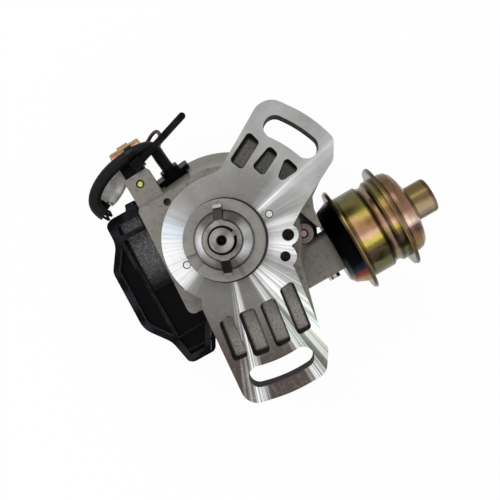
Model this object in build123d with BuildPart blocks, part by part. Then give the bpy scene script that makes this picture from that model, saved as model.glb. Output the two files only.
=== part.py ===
from build123d import *
from math import atan2, cos, degrees, hypot, pi, radians, sin, tan
import os

# Ignition distributor with the coil inside its cap: die-cast housing with a slotted hold-down flange,
# offset drive dog, centrifugal and vacuum advance.  Millimetres.
# Origin: shaft axis at the machined mounting face.  +Z points along the shaft to the drive end,
# +X towards the vacuum unit's side.  The part stands on the four plug towers of its cap.

# ---------------------------------------------------------------- driving dimensions
EAR_THICK = 16.0  # flange and ears
POCKET_DEPTH = 13.0  # cast lightening pockets in the ears
PILOT_R = 18.5
PILOT_TOP = 15.0
PILOT_BORE_R = 13.6
SHAFT_R = 5.25
SHAFT_TOP = 36.5
SPINDLE_R = 4.0  # thinner inner end of the shaft, which carries the cam sleeve
RUNNING = 0.05  # radial running clearance of shaft and sleeve

SHOULDER_Z = -20.0  # outside of the bowl's roof
CEILING_Z = -25.0  # inside of the bowl's roof
RIM_Z = -52.0  # open edge of the bowl, where the cap meets it
FLANGE_Z = -44.0  # upper edge of the bowl's rim flange
WALL = 3.5
RIM_R = 44.6

FLAT_ANGLE = 206.6  # outward normal of the flat side, where the coil box stands
FLAT_DIST = 32.7

VAC_ANGLE = 30.0  # direction of the vacuum unit's axis
VAC_OFFSET = 30.4  # distance of that axis from the shaft axis
VAC_Z = -39.0
BOSS_END = 43.0  # end face of the vacuum boss, along the vacuum axis
ROD_TRAVEL = 5.3
ADVANCE_ANGLE = 10.0  # travel of the advance plate

GASKET = 1.0
CAP_TOP = RIM_Z - GASKET  # rim face of the cap
CAP_FLANGE = 4.5
TOWER_TIP = -112.0
TOWER_RING_R = 28.0
TOWER_BORE_R = 4.6
TOWER_ANGLES = [0, 90, 180, 270]
CAP_SCREWS = [(41.0, 80.0), (41.0, 345.0), (41.0, 279.0)]  # radius, angle

CAP_R = 45.2
SHELF_Z = -47.0  # floor of the cap's tub beside the housing
LIP_Z = -42.0  # top of the tub's lip
LIP_INSET = 1.7
LIP_WIDE = 3.0
BLOCK_POCKET = 3.0
TUB_RIBS = [  # corners in flat-side coordinates, and top
    ([(49.4, -24.5), (50.8, -24.5), (47.2, 34.0), (45.8, 34.0)], -42.0),
    ([(33.4, 4.9), (47.5, 5.3), (47.4, 6.5), (33.4, 6.1)], -44.6),
    ([(24.0, 31.0), (47.3, 33.1), (47.2, 34.4), (23.9, 32.3)], -42.6),
    ([(24.0, 40.7), (47.0, 41.4), (47.0, 42.4), (24.0, 41.7)], -43.4),
]
DOME_END = -84.0
COIL_END = -90.0
CHAMBER_END = -80.0
TOWER_DEEP = 22.0
TERMINAL_R = 1.6
CORE_NEAR = 38.5  # the core's faces, distances from the shaft axis
CORE_FAR = 50.3
VAC_WIRE_R = 0.7

LUG_SCREW = (-42.9, 27.2)
BRACKET_THICK = 1.5
SADDLE_THICK = 1.0
CONDENSER_R = 5.0
CONDENSER_FROM = (-59.0, 38.6, -42.5)
CONDENSER_ANGLE = 32.0
CONDENSER_LONG = 17.0
CONDENSER_LEAD_R = 0.95
CONDENSER_LEAD_ROUTE = [
    (-44.58, 47.61, -42.5), (-42.04, 49.2, -42.5), (-39.4, 53.2, -39.5), (-36.0, 55.0, -37.0), (-34.2, 51.0, -36.6),
    (-36.4, 44.6, -38.0), (-34.35, 40.72, -39.04), (-31.51, 36.9, -40.57),
]
LEAD_D = 6.2
LEAD_ROUTE = [
    (-30.69, 35.8, -36.28), (-34.1, 40.4, -34.44), (-37.4, 46.2, -29.4), (-44.4, 44.2, -26.5), (-53.0, 38.6, -26.3),
    (-61.0, 31.4, -27.3), (-66.3, 22.4, -28.2), (-66.0, 15.2, -28.8), (-61.4, 12.3, -29.6),
]
WIRE_R = 0.65
WIRE_ROUTE = [
    (-61.38, 12.29, -29.6), (-58.54, 10.5, -30.1), (-61.0, 13.6, -35.6), (-65.34, 14.02, -36.6), (-63.45, 16.84, -36.6),
]
WIRE_SHIFT = [(0.64, 1.01, 0), (0.64, 1.01, 0), (0.64, 1.01, 0), (0, 0, 1.2), (0, 0, 1.2)]  # half the spacing of the pair
CONNECTOR_FROM = (-62.0, 19.0, -36.6)
CONNECTOR_TO = (-52.6, 33.0, -36.6)
TIE_AT = (-47.6, 42.05, -26.42)
TIE_ALONG = (-0.84, -0.55, 0.0)
TIE_WIDE = 4.0
TAIL_ROOT = (-43.9, 36.8, -23.6)
TAIL_TIP = (-22.6, 60.0, -23.6)
GROMMET_STAND = 0.6

os.makedirs("parts", exist_ok=True)


# ---------------------------------------------------------------- helpers
def polar(radius, angle):
    """Point at a radius and an angle in degrees about the shaft axis."""
    return (radius * cos(radians(angle)), radius * sin(radians(angle)))


def turned(angle, z=0.0):
    """Horizontal plane at height z whose local x points along angle."""
    return Plane(origin=(0, 0, z), x_dir=(*polar(1, angle), 0), z_dir=(0, 0, 1))


def radial_plane(angle, offset=0.0):
    """Upright plane through the shaft axis: local x runs outwards along angle, local y upwards."""
    side = polar(1, angle - 90)
    start = (side[0] * offset, side[1] * offset, 0)
    return Plane(origin=start, x_dir=(*polar(1, angle), 0), z_dir=(*side, 0))


def save(block, name):
    """Label the finished piece and write its STEP file."""
    block.part.label = name
    export_step(block.part, f"parts/{name}.step")


def ring(name, r_out, r_in, z_top, height):
    """Plain ring or washer about the shaft axis."""
    with BuildPart() as piece:
        with BuildSketch(Plane.XY.offset(z_top - height)):
            Circle(r_out)
            Circle(r_in, mode=Mode.SUBTRACT)
        extrude(amount=height)
    save(piece, name)


flat_side = turned(FLAT_ANGLE)
vac_foot = (*polar(VAC_OFFSET, VAC_ANGLE - 90), VAC_Z)
vac_plane = Plane(
    origin=vac_foot, x_dir=(*polar(1, VAC_ANGLE), 0), z_dir=(*polar(1, VAC_ANGLE - 90), 0)
)
vac_axis = Axis(vac_foot, (*polar(1, VAC_ANGLE), 0))


def lathe_on_vacuum_axis(name, profile):
    """Turned or pressed shell about the vacuum unit's axis; profile is (station, radius) points."""
    with BuildPart() as piece:
        with BuildSketch(vac_plane):
            with BuildLine():
                Polyline(*profile, close=True)
            make_face()
        revolve(axis=vac_axis)
    save(piece, name)


# ---------------------------------------------------------------- shared outlines
def flange_outline(plane):
    """Disc with two ears and two screw lobes."""
    with BuildSketch(plane) as outline:
        with Locations((0.5, 0.6)):
            Circle(30.2)
        with BuildLine():
            FilletPolyline(
                (0, 10), (-14, 27), (-2.6, 32.5), (17.1, 67.2), (38.6, 57.2), (49.6, 47), (49.5, 36.8),
                (35, 14.4), (30, 5),
                radius=[0.5, 6, 9.5, 60, 4.5, 6, 8],
            )
            Line((30, 5), (0, 10))
        make_face()
        with BuildLine():
            FilletPolyline(
                (20, -6), (31, -11.5), (47.4, -49.4), (46.6, -61.4), (31.2, -70.2), (10.4, -77),
                (-10.6, -32.3), (-11.6, -24.8), (-19.5, -23),
                radius=[2, 10, 7, 70, 8, 6, 4.5],
            )
            Line((-19.5, -23), (20, -6))
        make_face()
        for centre, lobe in [((28.7, 2.4), 4.9), ((27.5, -7.5), 5.3)]:
            with Locations(centre):
                Circle(lobe)
    return outline.sketch


def bowl_outline(height, radius, flat, wall_far, wall_near, inset=0.0):
    """Plan of the bowl: a circle with a flat side, a slanted wall and a notch beside the flat."""
    notch = 20.0 - inset
    notch_side = 24.8 - inset
    far = (2.4, -((radius**2 - 2.4**2) ** 0.5))
    low = (notch, (radius**2 - notch**2) ** 0.5)
    with BuildSketch(flat_side.offset(height)) as outline:
        with BuildLine():
            FilletPolyline(
                far, (2.4, -wall_far + 0.4), (flat, -wall_near), (flat, notch_side), (notch, notch_side), low,
                radius=[0.3, 2.0, 3.5, 2.0],
            )
            ThreePointArc(low, (-radius, 0), far)
        make_face()
    return outline.sketch


# ---------------------------------------------------------------- housing
UPPER_POCKETS = [
    [(10.6, 50.2), (15.7, 45.0), (7.4, 32.0), (1.7, 36.6)],
    [(20.2, 43.6), (24.2, 39.6), (17.2, 29.2), (12.0, 33.8)],
    [(27.6, 38.6), (34.0, 32.6), (22.2, 24.4)],
]
LOWER_POCKETS = [
    [(-3.2, -38.4), (2.4, -33.8), (10.6, -53.4), (3.9, -56.4)],
    [(5.7, -33.8), (13.1, -31.0), (20.9, -51.3), (13.4, -54.2)],
    [(15.4, -29.8), (22.4, -26.2), (30.4, -46.2), (23.8, -50.0)],
    [(24.6, -22.8), (30.8, -18.4), (39.7, -40.2), (33.6, -44.2)],
]
POCKET_ROUND = 1.9
SLOTS = [(56.7, 49.0, 66.5, 10.8), (64.9, -76.1, -56.3, 9.8)]  # radius, start and end angle, width
DOWELS = [(20.0, 12.0), (-17.9, -11.5)]
DOWEL_R = 1.9
FACE_HOLES = [((28.7, 2.4), 2.85, 15.0), ((27.5, -7.5), 2.4, 12.0)]  # centre, radius, depth
LUG_CORNERS = [(-51.0, 28.2), (-39.8, 35.4), (-30.0, 20.0), (-41.0, 11.5)]
LUG_TOP = -23.5
LUG_THICK = 7.5
VENT = (36.8, 3.0)
VENT_PAD_TOP = -22.5
RIBS = [((30, 14), (43, 34)), ((0, 33), (13, 57)), ((36, -20), (43, -46)), ((-2, -38), (9, -64))]
VENT_R = 1.6
BOSS_WEB = [
    (31, 16.5), (43, 33.6), (45.3, 30.4), (40.6, 20.6), (41.4, 14.9), (43.6, 9.5), (45.2, 6.2), (43.4, 6.2),
]
ROOF_HOLE = (-29.3, 18.3)  # blind hole in the roof
RELIEF_R = 19.8
GROOVE_Z = 1.8  # lower side of the sealing ring's groove
GROOVE_WIDE = 2.6
GROOVE_R = 16.9
NOTCH_DEEP = 2.0  # oil notch in the spigot end face
O_RING_R = 19.4
O_RING_THICK = 2.5
BUSH_R = 8.0
SEAL_R = 10.5
SEAL_Z = -19.0
COLLAR_Z = -1.0  # inner end of the drive collar
COLLAR_R = 13.3
CONE_Z = 16.0  # foot of the collar's cone
CONE_TOP_R = 9.0
HUB_Z = 28.4  # underside of the dog's hub
DOG_HUB_R = 8.7
DOG_THICK = 1.8
ARM_WIDE = 3.8
ARM_TIP_R = 16.2
ARM_ANGLES = [101.8, -82.4]
CIRCLIP_Z = HUB_Z + DOG_THICK
COLLAR_PIN_Z = 6.0
COLLAR_PIN_R = 1.9
GOVERNOR_Z = -26.2  # upper face of the governor plate
GOVERNOR_THICK = 1.6
GOVERNOR_R = 23.0
PIVOT_R = 17.0  # radius of the weights' pivots
PIVOT_STUD_R = 2.2
WEIGHT_GAP = 0.2
WEIGHT_THICK = 4.0
DRIVE_PIN_AT = 12.0  # radius of the drive pins at rest
DRIVE_PIN_OUT = 15.3  # and with the weights out
DRIVE_PIN_R = 1.5
CAM_GAP = 0.3
CAM_THICK = 1.2
CAM_Z = GOVERNOR_Z - GOVERNOR_THICK - WEIGHT_GAP - WEIGHT_THICK - CAM_GAP  # upper face of the cam plate
BASE_Z = CAM_Z - CAM_THICK - 1.5  # upper face of the fixed base plate
SPRING_POST_R = 17.0
FIXED_POST_ANGLE = 158.0
MOVING_POST_ANGLE = 116.0
SPRING_Z = -30.2
SPRING_COILS = 9
SLEEVE_R = 6.5
SLEEVE_END = -58.0
KEY_LONG = 8.0
PLATE_THICK = 1.4
BEARING_IN_R = 13.0
BEARING_OUT_R = 15.5
ADVANCE_PLATE_R = 27.0
ROD_THICK = 1.6
ROD_PIN_R = 1.5
TOOTH_R = 12.0  # tips of the signal rotor
PICKUP_ANGLE = 115.0
ARM_HUB_R = 9.5
BASE_SCREW_R = 34.5
BASE_SCREW_ANGLES = [60, 150, 285]
SCREW_HEAD_R = 5.0
PICKUP_R = 22.0
TOOTH_TOP = -44.0
TOOTH_HIGH = 5.0
ARM_FACE_Z = -65.0
IGNITER_DEEP = 9.0
IGNITER_HIGH = 8.0
IGNITER_SCREWS = [(-10, 0), (10, 0)]
VAC_SHEET = 0.9
FLANGE_A = 52.4
FLANGE_B = 76.0
FLANGE_R = 26.7
CAN_R = 22.0
DOME_R = 21.7
NOSE_R = 9.0
NOSE_END = 99.0
PORT_R = 2.4
PORT_LEAD = 0.8  # tapered end that a hose slips over
PORT_FOOT = 1.2  # brazed collar at its foot
CUP_STATION = 48.0
VAC_SPRING_LONG = NOSE_END - VAC_SHEET - CUP_STATION - 2 * VAC_WIRE_R - 0.2
SPINDLE_END = -57.0
ROD_BORE_R = 5.5
GROMMET_NECK = (13.4, 9.0)
GROMMET_ANGLE = 126.6  # outward normal of the slanted wall in plan
GROMMET_TILT = 17.8  # and its lean towards the shoulder
grommet_plane = Plane(
    origin=(-27.5, 31.5, -38.0), x_dir=(*polar(1, GROMMET_ANGLE - 90), 0),
    z_dir=(*polar(cos(radians(GROMMET_TILT)), GROMMET_ANGLE), sin(radians(GROMMET_TILT))),
)

boss_plane = Plane(
    origin=vac_foot, x_dir=(*polar(1, VAC_ANGLE - 90), 0), z_dir=(*polar(1, VAC_ANGLE), 0)
)
vacuum_screw_frame = Plane(
    origin=(*polar(hypot(36.5, VAC_OFFSET + 10.7), VAC_ANGLE - 90 + degrees(atan2(36.5, VAC_OFFSET + 10.7))), VAC_Z + 4),
    x_dir=(*polar(1, VAC_ANGLE), 0), z_dir=(*polar(1, VAC_ANGLE - 90), 0),
)
coil_frame = Plane(
    origin=(0, 0, -68), x_dir=(*polar(1, FLAT_ANGLE + 90), 0), z_dir=(*polar(1, FLAT_ANGLE), 0)
)
igniter_face = Plane(
    origin=(*polar(FLAT_DIST - WALL, FLAT_ANGLE), RIM_Z + 0.6 + IGNITER_HIGH / 2),
    x_dir=(*polar(1, FLAT_ANGLE + 90), 0), z_dir=(*polar(1, FLAT_ANGLE), 0),
)
can_frame = Plane(origin=CONDENSER_FROM, x_dir=(0, 0, 1), z_dir=(*polar(1, CONDENSER_ANGLE), 0))
with BuildPart() as housing:
    # mounting flange with its two ears
    extrude(flange_outline(Plane.XY.offset(-EAR_THICK)), amount=EAR_THICK)
    # neck between flange and bowl
    with BuildSketch(Plane.XY.offset(CEILING_Z)):
        Circle(29.0)
    extrude(amount=-CEILING_Z - 2)
    # bowl: straight at its rim, then drawn in towards the shoulder
    extrude(bowl_outline(RIM_Z, RIM_R, FLAT_DIST, 43.4, 37.6), amount=FLANGE_Z - RIM_Z)
    loft(
        [bowl_outline(FLANGE_Z, RIM_R, FLAT_DIST, 43.4, 37.6), bowl_outline(SHOULDER_Z, 35.8, FLAT_DIST, 34.7, 32.6)],
        ruled=True,
    )
    # ribs that tie the ears to the bowl
    for foot, tip in RIBS:
        direction = degrees(atan2(tip[1] - foot[1], tip[0] - foot[0]))
        length = hypot(tip[0] - foot[0], tip[1] - foot[1])
        web = Plane(
            origin=(*foot, -EAR_THICK + 0.5), x_dir=(*polar(1, direction), 0), z_dir=(*polar(1, direction - 90), 0)
        )
        with BuildSketch(web):
            Polygon((-14, 0), (length, 0), (length - 4, -3), (2, -20), (-14, -20), align=None)
        extrude(amount=2.0, both=True)
    # web between the upper ear and the vacuum boss
    with BuildSketch(Plane.XY.offset(-EAR_THICK + 0.5)):
        with BuildLine():
            FilletPolyline(*BOSS_WEB, radius=[1, 1, 1, 4, 3, 2, 0.5, 0.5], close=True)
        make_face()
    extrude(amount=-24)
    # vacuum boss and vent pad
    with BuildSketch(boss_plane.offset(15)):
        RectangleRounded(21.4, 21.4, 4)
    extrude(amount=BOSS_END - 15)
    with BuildSketch(Plane.XY.offset(VENT_PAD_TOP)):
        with Locations(VENT):
            Circle(5.0)
            with Locations((-3.2, -1.6)):
                Rectangle(8.2, 10, rotation=26)
    extrude(amount=-16)
    # lug that carries the condenser bracket
    with BuildSketch(Plane.XY.offset(LUG_TOP)):
        with BuildLine():
            FilletPolyline(*LUG_CORNERS, radius=[0.8, 1.2, 0.5, 0.5], close=True)
        make_face()
    extrude(amount=-LUG_THICK)
    # pilot spigot
    with BuildSketch(Plane.XY):
        Circle(PILOT_R)
    extrude(amount=PILOT_TOP)
    chamfer(housing.faces().sort_by(Axis.Z)[-1].edges(), 0.8)
    # inside of the bowl
    inner_rim = (RIM_R - WALL, FLAT_DIST - WALL, 43.4 - WALL, 37.6 - WALL, WALL)
    extrude(bowl_outline(RIM_Z, *inner_rim), amount=FLANGE_Z + 3 - RIM_Z, mode=Mode.SUBTRACT)
    loft(
        [bowl_outline(FLANGE_Z + 3, *inner_rim), bowl_outline(CEILING_Z, 33.5, FLAT_DIST - WALL, 31.5, 29.5, WALL)],
        ruled=True,
        mode=Mode.SUBTRACT,
    )
    # screw columns for the cap, inside the rim
    with BuildSketch(Plane.XY.offset(RIM_Z)):
        for radius, angle in CAP_SCREWS:
            with Locations(polar(radius - 0.6, angle)):
                Circle(4.2)
    extrude(amount=12)
    with Locations(*[(*polar(radius, angle), RIM_Z) for radius, angle in CAP_SCREWS]):
        Hole(1.7, depth=10)
    # posts under the roof that carry the base plate
    with BuildSketch(Plane.XY.offset(CEILING_Z + 1)):
        for angle in BASE_SCREW_ANGLES:
            with Locations(polar(BASE_SCREW_R, angle)):
                Circle(3.8)
                Circle(1.5, mode=Mode.SUBTRACT)
    extrude(amount=BASE_Z - CEILING_Z - 1)
    # hold-down slots through the ears
    with BuildSketch(Plane.XY):
        for radius, first, last, width in SLOTS:
            SlotArc(CenterArc((0, 0), radius, first, last - first, mode=Mode.PRIVATE), width)
    extrude(amount=-EAR_THICK - 8, mode=Mode.SUBTRACT)
    # lightening pockets, narrower at their floors
    for corners in UPPER_POCKETS + LOWER_POCKETS:
        with BuildSketch(Plane.XY):
            with BuildLine():
                FilletPolyline(*corners, radius=POCKET_ROUND, close=True)
            make_face()
        extrude(amount=-POCKET_DEPTH, taper=1.5, mode=Mode.SUBTRACT)
    # screw holes in the face, dowel sockets, relief round the spigot
    for centre, radius, depth in FACE_HOLES:
        with Locations((*centre, 0)):
            Hole(radius, depth=depth)
    with Locations(*[(*centre, 0) for centre in DOWELS]):
        Hole(DOWEL_R, depth=8)
    with BuildSketch(Plane.XY):
        Circle(RELIEF_R)
        Circle(PILOT_R, mode=Mode.SUBTRACT)
    extrude(amount=-1.0, mode=Mode.SUBTRACT)
    # groove for the sealing ring
    with BuildSketch(Plane.XY.offset(GROOVE_Z)):
        Circle(PILOT_R + 1)
        Circle(GROOVE_R, mode=Mode.SUBTRACT)
    extrude(amount=GROOVE_WIDE, mode=Mode.SUBTRACT)
    # inside of the spigot: recess for the drive collar, bush bore, seal seat
    with BuildSketch(radial_plane(0)):
        with BuildLine():
            Polyline(
                (0, PILOT_TOP + 1), (PILOT_BORE_R, PILOT_TOP + 1), (PILOT_BORE_R, COLLAR_Z - 1),
                (BUSH_R, COLLAR_Z - 1), (BUSH_R, SEAL_Z), (SEAL_R, SEAL_Z), (SEAL_R, CEILING_Z - 1),
                (0, CEILING_Z - 1), close=True,
            )
        make_face()
    revolve(axis=Axis.Z, mode=Mode.SUBTRACT)
    # oil notch and drain groove in the spigot's end face
    with BuildSketch(Plane.XY.offset(PILOT_TOP - NOTCH_DEEP)):
        Polygon((0, 0), polar(24, 204), polar(24, 229), align=None)
        Circle(PILOT_BORE_R - 1, mode=Mode.SUBTRACT)
    extrude(amount=NOTCH_DEEP + 1, mode=Mode.SUBTRACT)
    with BuildSketch(turned(-59.5, PILOT_TOP - 1.2)):
        with Locations((PILOT_R - 1, 0)):
            Rectangle(10, 1.8)
    extrude(amount=3, mode=Mode.SUBTRACT)
    # passage for the vacuum rod, with a spot face for the vacuum unit and its screws
    with BuildSketch(boss_plane.offset(BOSS_END)):
        Circle(ROD_BORE_R)
    extrude(amount=-30, mode=Mode.SUBTRACT)
    with Locations((*LUG_SCREW, LUG_TOP)):
        Hole(2.1, depth=LUG_THICK)
    with Locations((*ROOF_HOLE, SHOULDER_Z)):
        Hole(1.8, depth=3)
    with Locations((*VENT, VENT_PAD_TOP)):
        Hole(VENT_R + 0.5, depth=1.2)
        Hole(VENT_R, depth=9)
    # opening in the slanted wall for the lead's grommet
    with BuildSketch(grommet_plane.offset(2)):
        RectangleRounded(*GROMMET_NECK, 2)
    extrude(amount=-10, mode=Mode.SUBTRACT)
    # tapped holes for the igniter and for the screw that holds the vacuum unit's neck
    with BuildSketch(igniter_face.offset(-0.5)):
        with Locations(*IGNITER_SCREWS):
            Circle(1.4)
    extrude(amount=2.7, mode=Mode.SUBTRACT)
    with BuildSketch(vacuum_screw_frame):
        Circle(1.7)
    extrude(amount=-7, mode=Mode.SUBTRACT)
save(housing, "housing")

# ---------------------------------------------------------------- pieces fixed to the flange
with BuildPart() as o_ring:
    with BuildSketch(radial_plane(0)):
        with Locations((O_RING_R - O_RING_THICK / 2, GROOVE_Z + GROOVE_WIDE / 2)):
            Circle(O_RING_THICK / 2)
    revolve(axis=Axis.Z)
save(o_ring, "o_ring")

with BuildPart() as dowel_pins:
    for centre in DOWELS:
        with BuildSketch(Plane.XY.offset(-8)):
            with Locations(centre):
                Circle(DOWEL_R - 0.15)
        extrude(amount=7.7)
    chamfer(dowel_pins.faces().group_by(Axis.Z)[-1].edges(), 0.3)
save(dowel_pins, "dowel_pins")

ring("shaft_bush", BUSH_R, SHAFT_R + RUNNING, COLLAR_Z - 1.5, COLLAR_Z - 1.5 - SEAL_Z)

with BuildPart() as oil_seal:
    with BuildSketch(radial_plane(0)):
        with BuildLine():
            Polyline(
                (SEAL_R, SEAL_Z), (SHAFT_R + 2, SEAL_Z), (SHAFT_R + RUNNING, SEAL_Z - 2.2),
                (SHAFT_R + 1.4, SEAL_Z - 2.8), (SHAFT_R + 2.4, SEAL_Z - 1.4), (SEAL_R - 1.4, SEAL_Z - 1.4),
                (SEAL_R - 1.4, CEILING_Z), (SEAL_R, CEILING_Z), close=True,
            )
        make_face()
    revolve(axis=Axis.Z)
save(oil_seal, "oil_seal")

ring("thrust_washer", 8.6, SHAFT_R + RUNNING, GOVERNOR_Z + 1.0, 1.0)

with BuildPart() as vent_plug:
    with BuildSketch(Plane.XY.offset(VENT_PAD_TOP - 8)):
        with Locations(VENT):
            Circle(VENT_R)
    extrude(amount=7.4)
save(vent_plug, "vent_plug")

# ---------------------------------------------------------------- drive end of the shaft
with BuildPart() as shaft:
    with BuildSketch(radial_plane(0)):
        with BuildLine():
            Polyline(
                (0, SHAFT_TOP - 3.5), (1.0, SHAFT_TOP - 2.4), (2.3, SHAFT_TOP), (SHAFT_R - 0.8, SHAFT_TOP),
                (SHAFT_R, SHAFT_TOP - 0.8), (SHAFT_R, CIRCLIP_Z + 1.0), (SHAFT_R - 0.5, CIRCLIP_Z + 1.0),
                (SHAFT_R - 0.5, CIRCLIP_Z), (SHAFT_R, CIRCLIP_Z), (SHAFT_R, GOVERNOR_Z - 1.6),
                (SPINDLE_R, GOVERNOR_Z - 1.6), (SPINDLE_R, SPINDLE_END), (0, SPINDLE_END), close=True,
            )
        make_face()
    revolve(axis=Axis.Z)
    with BuildSketch(Plane.XY.offset(SPINDLE_END)):
        Circle(1.5)
    extrude(amount=7, mode=Mode.SUBTRACT)
    with BuildSketch(Plane.XZ.offset(-10)):
        with Locations((0, COLLAR_PIN_Z)):
            Circle(COLLAR_PIN_R)
    extrude(amount=20, both=True, mode=Mode.SUBTRACT)
save(shaft, "shaft")

with BuildPart() as drive_collar:
    with BuildSketch(radial_plane(0)):
        with BuildLine():
            Polyline(
                (SHAFT_R, COLLAR_Z), (COLLAR_R, COLLAR_Z), (COLLAR_R, CONE_Z), (CONE_TOP_R, HUB_Z - 0.2),
                (SHAFT_R, HUB_Z - 0.2), close=True,
            )
        make_face()
    revolve(axis=Axis.Z)
    # slots that take the arms of the dog
    for angle in ARM_ANGLES:
        with BuildSketch(radial_plane(angle, -ARM_WIDE / 2 - 0.35)):
            Polygon(
                (CONE_TOP_R - 2.6, HUB_Z), (COLLAR_R + 1, HUB_Z), (COLLAR_R + 1, CONE_Z - 1.4),
                (COLLAR_R - 0.4, CONE_Z - 1.4), (CONE_TOP_R - 2.2, HUB_Z - 3.4), align=None,
            )
        extrude(amount=ARM_WIDE + 0.7, mode=Mode.SUBTRACT)
    with BuildSketch(Plane.XZ.offset(-10)):
        with Locations((0, COLLAR_PIN_Z)):
            Circle(COLLAR_PIN_R)
    extrude(amount=30, both=True, mode=Mode.SUBTRACT)
save(drive_collar, "drive_collar")

with BuildPart() as collar_pin:
    with BuildSketch(Plane.XZ):
        with Locations((0, COLLAR_PIN_Z)):
            Circle(COLLAR_PIN_R)
    extrude(amount=COLLAR_R - 0.8, both=True)
save(collar_pin, "collar_pin")

with BuildPart() as drive_dog:
    # eye-shaped hub, swept out into the two arms
    with BuildSketch(Plane.XY.offset(HUB_Z)):
        Circle(DOG_HUB_R)
        for angle in ARM_ANGLES:
            with BuildLine():
                FilletPolyline(
                    polar(DOG_HUB_R - 0.1, angle + 48), polar(DOG_HUB_R + 1.2, angle + 18),
                    polar(DOG_HUB_R + 4.4, angle + 9), polar(DOG_HUB_R + 4.4, angle - 9),
                    polar(DOG_HUB_R + 1.2, angle - 18), polar(DOG_HUB_R - 0.1, angle - 48),
                    radius=[1.0, 0.3, 0.3, 1.0],
                )
                Line(polar(DOG_HUB_R - 0.1, angle - 48), polar(DOG_HUB_R - 0.1, angle + 48))
            make_face()
        Circle(SHAFT_R + 0.6, mode=Mode.SUBTRACT)
    extrude(amount=DOG_THICK)
    # the hub's outer lip bends down with the cone
    with BuildSketch(radial_plane(0)):
        with BuildLine():
            Polyline(
                (CONE_TOP_R + 0.2, HUB_Z - 0.1), (20, HUB_Z - 0.1), (20, HUB_Z + 6), (DOG_HUB_R - 0.3, HUB_Z + 6),
                (DOG_HUB_R - 0.3, HUB_Z + DOG_THICK), close=True,
            )
        make_face()
    revolve(axis=Axis.Z, mode=Mode.SUBTRACT)
    for angle in ARM_ANGLES:
        with BuildSketch(radial_plane(angle, -ARM_WIDE / 2)):
            Polygon(
                (DOG_HUB_R - 1.7, HUB_Z + DOG_THICK), (DOG_HUB_R, HUB_Z + DOG_THICK),
                (ARM_TIP_R - 1.6, CONE_Z + 1.9), (ARM_TIP_R, CONE_Z + 1.6), (ARM_TIP_R, CONE_Z - 0.6),
                (COLLAR_R - 0.2, CONE_Z - 0.6), (DOG_HUB_R - 1.7, HUB_Z - 1.6), align=None,
            )
        extrude(amount=ARM_WIDE)
save(drive_dog, "drive_dog")

with BuildPart() as circlip:
    with BuildSketch(Plane.XY.offset(CIRCLIP_Z)):
        Circle(SHAFT_R + 1.1)
        Circle(SHAFT_R - 0.5, mode=Mode.SUBTRACT)
        with BuildLine():
            Polyline((0, 0), polar(9, 22), polar(9, 42), close=True)
        make_face(mode=Mode.SUBTRACT)
    extrude(amount=1.0)
save(circlip, "circlip")

# ---------------------------------------------------------------- centrifugal advance
with BuildPart() as governor_plate:
    with BuildSketch(Plane.XY.offset(GOVERNOR_Z - GOVERNOR_THICK)):
        SlotOverall(2 * GOVERNOR_R, 2 * 15.0)
        SlotOverall(2 * 20.0, 8.0, rotation=158)
        Circle(SHAFT_R, mode=Mode.SUBTRACT)
    extrude(amount=GOVERNOR_THICK)
    # pivot studs of the weights and posts of their springs
    with BuildSketch(Plane.XY.offset(GOVERNOR_Z - GOVERNOR_THICK)):
        for turn in (0, 180):
            with Locations(polar(PIVOT_R, turn)):
                Circle(PIVOT_STUD_R)
    extrude(amount=-WEIGHT_GAP - WEIGHT_THICK)
    with BuildSketch(Plane.XY.offset(GOVERNOR_Z - GOVERNOR_THICK)):
        for turn in (0, 180):
            with Locations(polar(SPRING_POST_R, FIXED_POST_ANGLE + turn)):
                Circle(1.1)
    extrude(amount=-3.4)
save(governor_plate, "governor_plate")


def flyweight(name, turn):
    """Arc-shaped weight on its pivot stud, with the pin that drives the cam plate."""
    weight_top = GOVERNOR_Z - GOVERNOR_THICK - WEIGHT_GAP
    with BuildPart() as piece:
        with BuildSketch(turned(turn, weight_top - WEIGHT_THICK)):
            Circle(19.5)
            Circle(8.2, mode=Mode.SUBTRACT)
            with BuildLine():
                Polyline((0, 0), polar(40, -14), polar(40, 43), polar(40, 100), close=True)
            make_face(mode=Mode.INTERSECT)
            with Locations((PIVOT_R, 0)):
                Circle(PIVOT_STUD_R + RUNNING, mode=Mode.SUBTRACT)
        extrude(amount=WEIGHT_THICK)
        with BuildSketch(turned(turn, weight_top - WEIGHT_THICK)):
            with Locations(polar(DRIVE_PIN_AT, 90)):
                Circle(DRIVE_PIN_R)
        extrude(amount=-CAM_GAP - CAM_THICK - 0.4)
    save(piece, name)


flyweight("flyweight_a", 0)
flyweight("flyweight_b", 180)

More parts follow.
